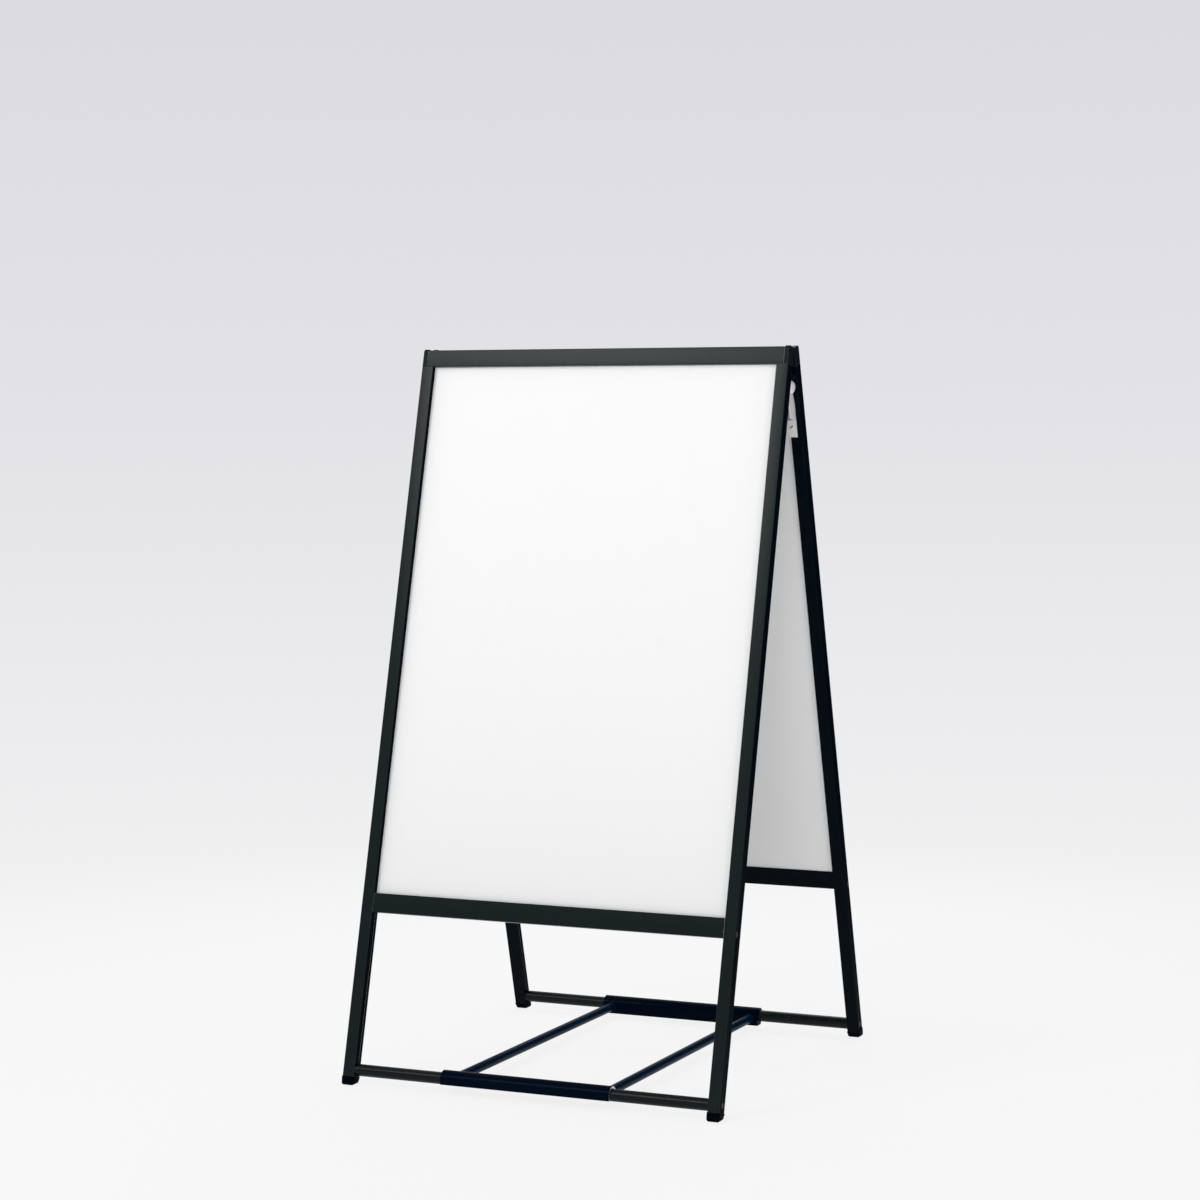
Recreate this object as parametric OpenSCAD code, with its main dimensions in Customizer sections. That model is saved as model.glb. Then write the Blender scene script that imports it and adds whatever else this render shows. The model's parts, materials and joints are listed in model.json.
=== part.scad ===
// Folding A-frame pavement sign: two framed white panels hinged near the top,
// with a swinging stay that hooks over the front bottom tube.
// The origin is on the floor under the centre, X runs along the width, -Y is the front.

/* [Frames] */
// Overall width of each frame
frame_w = 640; // [460:1:900]
// Length of a leg along its slope, from the top edge to the floor
leg_len = 1194; // [1120:1:1400]
// Lean of each frame from the vertical, in degrees
lean = 14.9; // [13.5:0.1:16]
// Gap between the two frames along their top edges
top_gap = 1.3; // [1:0.1:3]

/* [Profiles] */
// Width of a stile seen from the front
stile_w = 20; // [19:0.5:24]
// Depth of the stiles and of the top rail
stile_d = 20; // [19:0.5:22]
// Wall of the hollow profiles
wall = 1.5; // [1.3:0.1:1.8]
// Rounding along the long edges of the profiles
edge_r = 0.9; // [0.5:0.1:1.2]
// Height of the top rail
rail_h = 27.5; // [25:0.5:34]
// Height of the middle rail
mid_h = 30.5; // [28:0.5:40]
// Depth of the middle rail
mid_d = 15; // [15:0.5:17]
// Outside diameter of the round bottom tube
tube_d = 19; // [17:0.5:20]
// Wall of the bottom tube
tube_wall = 1.2; // [1:0.1:1.8]
// Height of the axis of the bottom tube above the floor
tube_rise = 22.2; // [22:0.2:28]

/* [Panel] */
// Height of the panel that shows between the rails
panel_h = 864.5; // [700:0.5:880]
// Thickness of the panel
panel_t = 3; // [2:0.5:3]
// Distance of the panel's face behind the frame's face
panel_recess = 9; // [8.5:0.1:9.5]
// Depth of the grooves that hold the panel
groove_depth = 5; // [4:0.5:5.5]
// Play between the panel and each side of its groove
panel_play = 0.2; // [0.1:0.05:0.25]
// Play between the panel's edge and the bottom of its groove
panel_end_play = 0.4; // [0.2:0.1:0.6]

/* [Corner blocks] */
// Width of the block that shows beside the end of the top rail
corner_w = 8; // [7:0.5:9]
// Height of the block above the top rail
corner_rise = 2.5; // [2:0.5:4]
// Rounding over the top of the block
corner_r = 5; // [4:0.5:6]
// Length of the spigots inside the rail and the stile
corner_spigot = 35; // [28:1:42]
// Play of every spigot in its profile
spigot_play = 0.2; // [0.1:0.05:0.3]

/* [Feet] */
// Height of a foot cap below the end of its stile
foot_h = 12; // [11.5:0.5:13]
// Overhang of a foot cap beyond the stile on each side
foot_lip = 0.8; // [0.5:0.1:1.2]
// Rounding of the lower edge of a foot cap
foot_r = 4; // [2.5:0.5:4.5]
// Length of the spigot of a foot cap inside the stile
foot_spigot = 30; // [26:1:40]

/* [Hinges] */
// Drop of the hinge axis below the top edge of the frames
hinge_drop = 64; // [60:0.5:72]
// Thickness of a hinge leaf
leaf_t = 2; // [1.6:0.1:2.4]
// Distance of the rear leaf's lug from the inner side of the stile
leaf_in = 12; // [10:0.5:13]
// Width of the fixing plate of a hinge leaf
leaf_w = 22; // [18:0.5:26]
// Distance of the fixing plate's upper edge from the top edge, along the stile
leaf_s = 114; // [106:1:125]
// Height of the fixing plate along the stile
leaf_h = 28; // [24:1:36]
// Reach of the arm off the stile above the plate
arm_reach = 24; // [18:0.5:25]
// Height of the arm above the plate over which it narrows to the flange
arm_foot = 8; // [6:0.5:12]
// Height of the side flange above the stile beside the plate
flange_h = 3; // [2.5:0.5:6]
// Radius of the eye of a hinge leaf
eye_r = 8; // [7:0.5:9]
// Distance down the slope at which the arm to the eye leaves the stile
arm_s = 88; // [82:1:100]
// Radius of the hinge pin
pin_r = 4; // [3:0.5:4.5]
// Running play of the pin in the rear leaf
pin_play = 0.05; // [0.02:0.01:0.09]
// Gap beside a turning leaf
leaf_gap = 0.3; // [0.2:0.1:0.4]
// Radius of the domed head of the hinge pin
pin_head_r = 10.5; // [8.5:0.5:11]
// Height of the domed head of the hinge pin
pin_head_h = 8; // [5:0.5:8]

/* [Screws] */
// Radius of the long side screws
side_screw_r = 2; // [1.6:0.1:2.2]
// Length of the long side screws
side_screw_len = 32; // [28:1:36]
// Radius of the short screws
short_screw_r = 1.7; // [1.4:0.1:2]
// Length of the short countersunk screws
short_screw_len = 9; // [8:0.5:10]
// Length of the hinge screws below their heads
hinge_screw_len = 6; // [5:0.5:6.5]
// Play of a screw in its hole
screw_play = 0.05; // [0.03:0.01:0.1]

/* [Stay] */
// Length of the hook and of the rear sleeve along the tubes
sleeve_len = 287; // [200:1:360]
// Sideways place of the stay on the tubes
stay_shift = -3.5; // [-40:0.5:40]
// Wall of the hook and of the rear sleeve
sleeve_wall = 3.6; // [3:0.1:4]
// Play of the hook over the front tube
hook_play = 0.5; // [0.4:0.1:0.8]
// Play of the rear sleeve round the rear tube
sleeve_play = 0.35; // [0.3:0.05:0.5]
// Reach of the hook's front wall below the tube's axis
hook_drop = 7; // [6:0.5:9]
// Slope of the hook's rear wall from the vertical, in degrees
flank = 42; // [40:1:44]
// Reach of the hook's rear wall below the tube's axis
flank_drop = 10.5; // [10:0.5:11.5]
// Reach of the rear sleeve's foot below the tube's axis
sleeve_drop = 15.5; // [15.5:0.5:17]
// Rounding of the rear sleeve's lower edges
sleeve_r = 2; // [1:0.5:2.5]
// Diameter of the two rods
rod_d = 15; // [12:0.5:15]
// Wall of the two rods
rod_wall = 1.5; // [1.2:0.1:2]
// Distance of each rod from the end of the sleeves
rod_in = 15; // [12:0.5:40]
// Drop of a rod's axis below the tube's axis at the front
rod_drop_front = 1; // [0.5:0.5:2]
// Drop of a rod's axis below the tube's axis at the rear
rod_drop_rear = 4; // [3:0.5:6]

/* [Hidden] */
$fn = 64;

// Overrun of every cut
over = 1;
// Thickness of the slices that carry a rounded form
thin = 0.02;
// Turn from one slice to the next in a rounded edge, in degrees
slice_step = 22.5;

// The frame's own values
inner_x = frame_w / 2 - stile_w;
top_y = stile_d * cos(lean) + top_gap / 2;
top_z = leg_len * cos(lean) + stile_d / 2 * sin(lean);
stile_end = leg_len - foot_h;
mid_top = rail_h + panel_h;
tube_n = stile_d / 2;
tube_s = (top_z - tube_rise - tube_n * sin(lean)) / cos(lean);
tube_y = top_y + tube_s * sin(lean) - tube_n * cos(lean);
tube_r = tube_d / 2;
tube_len = 2 * inner_x;
groove_w = panel_t + 2 * panel_play;
groove_n = panel_recess - panel_play;
cavity_x = groove_depth + wall;
rail_half = frame_w / 2 - corner_w;
// Clear height inside the top rail above its groove
rail_cavity_h = rail_h - groove_depth - 2 * wall;

// Spigots of the corner blocks
rail_notch_h = rail_h - wall - rail_cavity_h / 2;
rail_notch_x = inner_x + cavity_x;
stile_spigot_x = rail_notch_x + spigot_play;
stile_spigot_w = stile_w - cavity_x - wall - 2 * spigot_play;
spigot_d = stile_d - 2 * wall - 2 * spigot_play;

// Tube plugs
plug_r = tube_r - tube_wall - screw_play;
plug_len = 22;

// Screw places
head_share = 1.9;
head_slope_share = 0.9;
recess_share = 0.45;
boss_r = side_screw_r + wall;
port_n = boss_r + wall / 2;
port_s = mid_top + mid_h - boss_r - 2 * wall;
rail_screw_x = rail_half - corner_spigot / 3;
rail_screw_s = wall + rail_cavity_h / 2;
stile_screw_x = frame_w / 2 - wall - (stile_w - cavity_x - wall) / 2;
stile_screw_s = rail_h + corner_spigot / 2;

// Hinge axis, seen from one frame
hinge_z = top_z - hinge_drop;
hinge_s = hinge_drop * cos(lean) - top_y * sin(lean);
hinge_n = hinge_drop * sin(lean) + top_y * cos(lean);
rear_lug_x = inner_x + leaf_in - leaf_t;
front_lug_x = rear_lug_x - leaf_gap - leaf_t;
hinge_head_r = 3.5;
hinge_head_h = 2;
hinge_screw_x = front_lug_x - leaf_gap - hinge_head_r;
hinge_screw_share = 0.4;
hinge_screw_s = leaf_s + leaf_h * hinge_screw_share;
hinge_slot_w = 1.8;
hinge_slot_turn = 35;
pin_tail_r = 6;
pin_tail_h = 2.5;
dome_share = 0.62;
dome_base_share = 0.35;

// Stay
hook_ri = tube_r + hook_play;
hook_ro = hook_ri + sleeve_wall;
// The hook's sloping wall runs a little inside its round top
flank_seam = 0.12;
flank_ri = hook_ri - flank_seam;
flank_ro = hook_ro - flank_seam;
sleeve_ri = tube_r + sleeve_play;
sleeve_ro = sleeve_ri + sleeve_wall;
rod_r = rod_d / 2;
reach = 4 * hook_ro;
rod_x = sleeve_len / 2 - rod_in;
rod_run = 2 * tube_y;
rod_fall = rod_drop_rear - rod_drop_front;
rod_tilt = atan2(rod_fall, rod_run);
foot_share = 0.35;

// Depth along the slope at which the floor lies, for a depth n behind the frame's face
function floor_s(n) = (top_z - n * sin(lean)) / cos(lean);
// Y of the point of the floor that lies at a depth n behind the front frame's face
function floor_y(n) = -top_y - floor_s(n) * sin(lean) + n * cos(lean);

// Places a piece of the front frame, drawn upright with its face at y = 0 and its top at z = 0
module front() {
    translate([0, -top_y, top_z]) rotate([-lean, 0, 0]) children();
}

// Places the same piece in the rear frame
module rear() {
    rotate([0, 0, 180]) front() children();
}

// Draws a piece on the frame's right side, or mirrored on its left side
module on_side(side) {
    if (side > 0) children();
    else mirror([1, 0, 0]) children();
}

// Runs an outline of depth and height along X
module along_x(x, len) {
    translate([x, 0, 0]) rotate([90, 0, 90]) linear_extrude(len) children();
}

// Rectangle with rounded corners, from its lower left corner
module rounded_rect(w, h, r) {
    translate([r, 0]) square([w - 2 * r, h]);
    translate([0, r]) square([w, h - 2 * r]);
    for (x = [r, w - r], y = [r, h - r]) translate([x, y]) circle(r);
}

// Countersunk screw with its head's top at z = 0, pointing down, or the hole for it
module screw(r, len, play, is_hole) {
    head_r = r * head_share;
    head_h = r * head_slope_share;
    difference() {
        union() {
            translate([0, 0, -len]) cylinder(h = len, r = r + play);
            translate([0, 0, -head_h]) cylinder(h = head_h, r1 = r + play, r2 = head_r + play);
            if (is_hole) cylinder(h = over, r = head_r + play);
        }
        if (!is_hole) translate([0, 0, -head_h]) cylinder(h = head_h + over, r = r * recess_share);
    }
}

// Puts its children at the two side screws of one side, head outwards
module side_screw_places() {
    translate([frame_w / 2, port_n, -port_s]) rotate([0, 90, 0]) children();
    translate([frame_w / 2, tube_n, -tube_s]) rotate([0, 90, 0]) children();
}

// Puts its children at the two screws of one corner block, head on the frame's back
module corner_screw_places() {
    translate([rail_screw_x, stile_d, -rail_screw_s]) rotate([-90, 0, 0]) children();
    translate([stile_screw_x, stile_d, -stile_screw_s]) rotate([-90, 0, 0]) children();
}

// Hole for the hinge screw through the leaf and the stile's back wall
module hinge_screw_hole() {
    translate([hinge_screw_x, stile_d + leaf_t + over, -hinge_screw_s])
        rotate([90, 0, 0]) cylinder(h = hinge_screw_len + leaf_t + over, r = short_screw_r + screw_play);
}

// Outline of a stile, from its inner side at x = 0 and its face at y = 0
module stile_outline() {
    difference() {
        rounded_rect(stile_w, stile_d, edge_r);
        difference() {
            translate([wall, wall]) square([stile_w - 2 * wall, stile_d - 2 * wall]);
            translate([0, groove_n - wall]) square([cavity_x, groove_w + 2 * wall]);
        }
        translate([-over, groove_n]) square([groove_depth + over, groove_w]);
    }
}

// Hollow stile between the top rail and the foot cap
module stile(side) {
    color([0.11, 0.12, 0.12]) on_side(side) difference() {
        translate([inner_x, 0, -stile_end]) linear_extrude(stile_end - rail_h) stile_outline();
        side_screw_places() screw(side_screw_r, side_screw_len, screw_play, true);
        corner_screw_places() screw(short_screw_r, short_screw_len, screw_play, true);
        hinge_screw_hole();
    }
}

// Hollow top rail with the panel's groove in its underside
module top_rail() {
    color([0.14, 0.15, 0.15]) difference() {
        along_x(-rail_half, 2 * rail_half) difference() {
            translate([0, -rail_h]) rounded_rect(stile_d, rail_h, edge_r);
            difference() {
                translate([wall, -rail_h + wall]) square([stile_d - 2 * wall, rail_h - 2 * wall]);
                translate([groove_n - wall, -rail_h]) square([groove_w + 2 * wall, groove_depth + wall]);
            }
            translate([groove_n, -rail_h - over]) square([groove_w, groove_depth + over]);
        }
        for (side = [-1, 1]) on_side(side) {
            translate([rail_notch_x, wall, -rail_h - over])
                cube([rail_half - rail_notch_x + over, stile_d - 2 * wall, rail_notch_h + over]);
            corner_screw_places() screw(short_screw_r, short_screw_len, screw_play, true);
        }
    }
}

// Hollow middle rail with the panel's groove on top and a screw port along its length
module mid_rail() {
    color([0.11, 0.12, 0.12]) along_x(-inner_x, 2 * inner_x) difference() {
        translate([0, -mid_top - mid_h]) rounded_rect(mid_d, mid_h, edge_r);
        difference() {
            translate([wall, -mid_top - mid_h + wall]) square([mid_d - 2 * wall, mid_h - 2 * wall]);
            translate([groove_n - wall, -mid_top - groove_depth - wall])
                square([groove_w + 2 * wall, groove_depth + wall]);
            translate([port_n, -port_s]) circle(boss_r);
        }
        translate([groove_n, -mid_top - groove_depth]) square([groove_w, groove_depth + over]);
        translate([port_n, -port_s]) circle(side_screw_r + screw_play);
    }
}

// Round tube between the stiles near the floor
module bottom_tube() {
    color([0.12, 0.13, 0.13]) translate([0, tube_n, -tube_s]) rotate([0, 90, 0]) difference() {
        cylinder(h = tube_len, r = tube_r, center = true);
        cylinder(h = tube_len + 2 * over, r = tube_r - tube_wall, center = true);
    }
}

// Plugs inside the tube's ends, which take the side screws
module tube_plugs() {
    color([0.05, 0.05, 0.05]) for (side = [-1, 1]) on_side(side)
        translate([inner_x, tube_n, -tube_s]) rotate([0, -90, 0]) difference() {
            cylinder(h = plug_len, r = plug_r);
            translate([0, 0, -over]) cylinder(h = plug_len + 2 * over, r = side_screw_r + screw_play);
        }
}

// Flat panel held in the grooves of the rails and stiles
module panel() {
    side_reach = groove_depth - panel_end_play;
    color([0.97, 0.97, 0.97])
        translate([-inner_x - side_reach, panel_recess, -mid_top - groove_depth])
        cube([2 * (inner_x + side_reach), panel_t, panel_h + groove_depth + side_reach]);
}

// Moulded corner block: a rounded strip beside the rail's end and two spigots
module corner(side) {
    top = corner_rise;
    color([0.10, 0.11, 0.11]) on_side(side) difference() {
        union() {
            along_x(rail_half, corner_w) {
                translate([0, -rail_h]) square([stile_d, rail_h + top - corner_r]);
                translate([corner_r, -rail_h]) square([stile_d - 2 * corner_r, rail_h + top]);
                for (n = [corner_r, stile_d - corner_r]) translate([n, top - corner_r]) circle(corner_r);
            }
            translate([rail_half - corner_spigot, wall + spigot_play, -wall - rail_cavity_h + spigot_play])
                cube([corner_spigot, spigot_d, rail_cavity_h - 2 * spigot_play]);
            translate([stile_spigot_x, wall + spigot_play, -rail_h - corner_spigot])
                cube([stile_spigot_w, spigot_d, corner_spigot + rail_h - wall - rail_cavity_h / 2]);
        }
        corner_screw_places() screw(short_screw_r, short_screw_len, screw_play, true);
    }
}

// Foot cap with a level sole, a rounded lower edge and a spigot in the stile
module foot(side) {
    x0 = inner_x - foot_lip;
    x1 = frame_w / 2 + foot_lip;
    y0 = floor_y(-foot_lip);
    y1 = floor_y(stile_d + foot_lip);
    color([0.04, 0.04, 0.05]) on_side(side) union() {
        hull() {
            front() translate([x0, -foot_lip, -stile_end - thin])
                cube([x1 - x0, stile_d + 2 * foot_lip, thin]);
            for (x = [x0 + foot_r, x1 - foot_r], y = [y0 + foot_r, y1 - foot_r])
                for (turn = [0:slice_step:90])
                    translate([x, y, foot_r * (1 - sin(turn))])
                        cylinder(h = thin, r = foot_r * cos(turn) + thin, $fn = 32);
        }
        front() difference() {
            translate([stile_spigot_x, wall + spigot_play, -stile_end - foot_h / 4])
                cube([stile_spigot_w, spigot_d, foot_spigot + foot_h / 4]);
            side_screw_places() screw(side_screw_r, side_screw_len, screw_play, true);
        }
    }
}

// Hinge leaf: a fixing plate on the stile's back and a lug that reaches the hinge axis
module hinge_leaf(side, lug_x, hole_r) {
    plate_x = lug_x + leaf_t - leaf_w;
    color([0.78, 0.78, 0.78]) on_side(side) difference() {
        union() {
            translate([plate_x, stile_d, -leaf_s - leaf_h]) cube([leaf_w, leaf_t, leaf_h]);
            along_x(lug_x, leaf_t) {
                translate([hinge_n, -hinge_s]) circle(eye_r);
                polygon([
                    [hinge_n - eye_r, -hinge_s], [hinge_n + eye_r, -hinge_s],
                    [stile_d + arm_reach, -leaf_s + arm_foot],
                    [stile_d + flange_h, -leaf_s], [stile_d + flange_h, -leaf_s - leaf_h],
                    [stile_d, -leaf_s - leaf_h], [stile_d, -arm_s]
                ]);
            }
        }
        translate([lug_x - over, hinge_n, -hinge_s]) rotate([0, 90, 0])
            cylinder(h = leaf_t + 2 * over, r = hole_r);
        hinge_screw_hole();
    }
}

// Long screws through the stiles into the middle rail's port and the tube's plug
module side_screws() {
    color([0.05, 0.05, 0.05]) for (side = [-1, 1]) on_side(side)
        side_screw_places() screw(side_screw_r, side_screw_len, 0, false);
}

// Short screws that hold the corner blocks' spigots in the rail and the stile
module corner_screws() {
    color([0.05, 0.05, 0.05]) for (side = [-1, 1]) on_side(side)
        corner_screw_places() screw(short_screw_r, short_screw_len, 0, false);
}

// Round-headed screws that hold the hinge leaves
module hinge_screws() {
    color([0.80, 0.80, 0.80]) for (side = [-1, 1]) on_side(side)
        translate([hinge_screw_x, stile_d + leaf_t, -hinge_screw_s]) rotate([90, 0, 0]) {
            cylinder(h = hinge_screw_len + leaf_t - 2 * wall, r = short_screw_r);
            translate([0, 0, -hinge_head_h]) difference() {
                cylinder(h = hinge_head_h, r1 = hinge_head_r * dome_share, r2 = hinge_head_r);
                rotate(hinge_slot_turn) translate([-hinge_head_r, -hinge_slot_w / 2, -over])
                    cube([2 * hinge_head_r, hinge_slot_w, over + hinge_head_h / 2]);
            }
        }
}

// Hinge pin, riveted in the front leaf, with a domed head outside the rear leaf
module hinge_pin(side) {
    head_x = rear_lug_x + leaf_t + leaf_gap;
    color([0.80, 0.80, 0.80]) on_side(side) translate([0, 0, hinge_z]) rotate([0, 90, 0]) {
        translate([0, 0, front_lug_x]) cylinder(h = head_x - front_lug_x, r = pin_r);
        translate([0, 0, head_x]) cylinder(h = pin_head_h * dome_base_share, r = pin_head_r);
        translate([0, 0, head_x + pin_head_h * dome_base_share])
            cylinder(h = pin_head_h * (1 - dome_base_share), r1 = pin_head_r, r2 = pin_head_r * dome_share);
        translate([0, 0, front_lug_x - pin_tail_h]) cylinder(h = pin_tail_h, r = pin_tail_r);
    }
}

// Draws an outline of depth and height about the axis of the front or the rear tube
module about_tube(y, extra = 0) {
    translate([stay_shift, y, tube_rise])
        along_x(-sleeve_len / 2 - extra, sleeve_len + 2 * extra) children();
}

// Point at radius r where the hook's sloping rear wall leaves its round top
function flank_top(r) = [r * cos(flank), r * sin(flank)];
// Lower end of that wall's face, a given distance below the tube's axis
function flank_low(r, drop) = flank_top(r)
    + (r * sin(flank) + drop) / cos(flank) * [sin(flank), -cos(flank)];

// Hook that drops over the front tube, open below
module stay_hook() {
    color([0.04, 0.05, 0.07]) difference() {
        union() {
            about_tube(-tube_y) circle(hook_ro);
            about_tube(-tube_y) translate([-hook_ro, -hook_drop]) square([hook_ro, hook_drop]);
            about_tube(-tube_y) polygon([
                [0, hook_ri / 2], flank_top(flank_ro),
                flank_low(flank_ro, flank_drop), flank_low(0, flank_drop)
            ]);
        }
        about_tube(-tube_y, over) circle(hook_ri);
        about_tube(-tube_y, over) polygon([
            [-hook_ri, 0], flank_top(flank_ri), flank_low(flank_ri, reach), [-hook_ri, -reach]
        ]);
        about_tube(-tube_y, over) translate([-reach, -hook_drop - reach]) square([reach, reach]);
    }
}

// Sleeve that turns on the rear tube, with a lower foot that carries the rods
module stay_sleeve() {
    foot_back = sleeve_ro * foot_share;
    color([0.04, 0.05, 0.07]) about_tube(tube_y) difference() {
        union() {
            circle(sleeve_ro);
            translate([-sleeve_ro, -sleeve_drop + sleeve_r])
                square([sleeve_ro + foot_back, sleeve_drop - sleeve_r]);
            translate([-sleeve_ro + sleeve_r, -sleeve_drop])
                square([sleeve_ro + foot_back - 2 * sleeve_r, sleeve_drop]);
            for (y = [-sleeve_ro + sleeve_r, foot_back - sleeve_r])
                translate([y, -sleeve_drop + sleeve_r]) circle(sleeve_r);
        }
        circle(sleeve_ri);
    }
}

// Tubular rod between the hook's rear wall and the sleeve's front face
module stay_rod(side) {
    color([0.04, 0.05, 0.07]) difference() {
        translate([stay_shift + side * rod_x, -tube_y, tube_rise - rod_drop_front])
            rotate([-90 - rod_tilt, 0, 0]) difference() {
                cylinder(h = rod_run, r = rod_r);
                translate([0, 0, -over]) cylinder(h = rod_run + 2 * over, r = rod_r - rod_wall);
            }
        about_tube(-tube_y) polygon([
            flank_low(flank_ro, reach), flank_top(flank_ro) - reach * [sin(flank), -cos(flank)],
            [-reach, reach], [-reach, -reach]
        ]);
        about_tube(tube_y) translate([-sleeve_ro, -reach]) square([reach, 2 * reach]);
    }
}

front() stile(-1);  // front_stile_left
front() stile(1);  // front_stile_right
front() top_rail();  // front_top_rail
front() mid_rail();  // front_mid_rail
front() bottom_tube();  // front_bottom_tube
front() tube_plugs();  // front_tube_plugs
front() panel();  // front_panel
front() corner(-1);  // front_corner_left
front() corner(1);  // front_corner_right
foot(-1);  // front_foot_left
foot(1);  // front_foot_right
front() hinge_leaf(-1, front_lug_x, pin_r);  // front_hinge_leaf_left
front() hinge_leaf(1, front_lug_x, pin_r);  // front_hinge_leaf_right
front() side_screws();  // front_side_screws
front() corner_screws();  // front_corner_screws
front() hinge_screws();  // front_hinge_screws
rear() stile(1);  // rear_stile_left
rear() stile(-1);  // rear_stile_right
rear() top_rail();  // rear_top_rail
rear() mid_rail();  // rear_mid_rail
rear() bottom_tube();  // rear_bottom_tube
rear() tube_plugs();  // rear_tube_plugs
rear() panel();  // rear_panel
rear() corner(1);  // rear_corner_left
rear() corner(-1);  // rear_corner_right
rotate([0, 0, 180]) foot(1);  // rear_foot_left
rotate([0, 0, 180]) foot(-1);  // rear_foot_right
rear() hinge_leaf(1, rear_lug_x, pin_r + pin_play);  // rear_hinge_leaf_left
rear() hinge_leaf(-1, rear_lug_x, pin_r + pin_play);  // rear_hinge_leaf_right
rear() side_screws();  // rear_side_screws
rear() corner_screws();  // rear_corner_screws
rear() hinge_screws();  // rear_hinge_screws
hinge_pin(-1);  // hinge_pin_left
hinge_pin(1);  // hinge_pin_right
stay_hook();
stay_sleeve();
stay_rod(-1);  // stay_rod_left
stay_rod(1);  // stay_rod_right
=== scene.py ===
"""Folding A-frame pavement sign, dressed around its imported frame.

Two black-framed white panels lean together on hinges near the top. Near the floor a stay of two rods
hooks over the front bottom tube and turns on the rear one. All lengths are metres in the part's own frame:
Z is up, X runs along the width and the front faces -Y.
"""

from __future__ import annotations

import json
import logging
import math
from dataclasses import dataclass, field
from enum import Enum
from typing import Sequence

import bmesh
import bpy
import numpy as np
from mathutils import Matrix, Vector

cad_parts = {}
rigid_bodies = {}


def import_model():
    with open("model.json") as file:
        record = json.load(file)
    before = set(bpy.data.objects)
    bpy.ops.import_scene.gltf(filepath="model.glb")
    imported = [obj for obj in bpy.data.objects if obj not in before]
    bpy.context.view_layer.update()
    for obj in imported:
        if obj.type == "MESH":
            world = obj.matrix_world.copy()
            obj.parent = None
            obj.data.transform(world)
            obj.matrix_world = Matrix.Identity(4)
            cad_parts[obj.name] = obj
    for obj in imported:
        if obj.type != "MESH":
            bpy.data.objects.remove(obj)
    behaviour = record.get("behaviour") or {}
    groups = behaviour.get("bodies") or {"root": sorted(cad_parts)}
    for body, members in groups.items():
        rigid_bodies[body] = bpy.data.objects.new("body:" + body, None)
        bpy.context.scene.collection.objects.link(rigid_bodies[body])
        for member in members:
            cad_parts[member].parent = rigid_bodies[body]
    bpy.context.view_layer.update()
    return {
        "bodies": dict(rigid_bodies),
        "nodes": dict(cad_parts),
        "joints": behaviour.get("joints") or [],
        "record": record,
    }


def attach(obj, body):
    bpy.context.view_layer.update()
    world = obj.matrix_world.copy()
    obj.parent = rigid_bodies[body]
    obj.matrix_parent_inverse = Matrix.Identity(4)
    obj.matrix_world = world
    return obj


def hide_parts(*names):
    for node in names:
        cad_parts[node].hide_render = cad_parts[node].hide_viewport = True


log = logging.getLogger("pavement_sign")

Array = np.ndarray
Colour = tuple[float, float, float]
Place = tuple[float, float, float]
Material = bpy.types.Material
Node = bpy.types.Node
Object = bpy.types.Object
Socket = bpy.types.NodeSocket

MM = 0.001
LEAN = 14.9

# Angles in degrees: faces closer to one plane than FLAT are merged, edges from SHARP on are drawn sharp, on
# round pieces from ROUND_SHARP on, and edges from CORNER on are broken.
FLAT = 0.4
SHARP = 32.0
ROUND_SHARP = 40.0
CORNER = 40.0
MERGE_REACH = 1e-6


class Leaf(Enum):
    """The two framed panels of the sign."""

    FRONT = "front"
    REAR = "rear"

    @property
    def body(self) -> str:
        """Name of the body that the leaf's pieces ride on."""
        return f"{self.value}_frame"

    @property
    def turn(self) -> float:
        """Sign of X and Y: the rear leaf is the front one turned half round."""
        return 1.0 if self is Leaf.FRONT else -1.0


class Hand(Enum):
    """Side of the sign, as someone in front of it sees it."""

    LEFT = "left"
    RIGHT = "right"

    @property
    def sign(self) -> float:
        """Sign of X on this side."""
        return -1.0 if self is Hand.LEFT else 1.0


class Grain(Enum):
    """Direction in which a profile was drawn, as the turns in degrees that bring it onto Z."""

    ACROSS = (0.0, 90.0, 0.0)
    DEPTH = (90.0, 0.0, 0.0)
    FRONT_SLOPE = (LEAN, 0.0, 0.0)
    REAR_SLOPE = (-LEAN, 0.0, 0.0)

    @property
    def turns(self) -> tuple[float, ...]:
        """The turns in radians."""
        return tuple(math.radians(angle) for angle in self.value)


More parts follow.
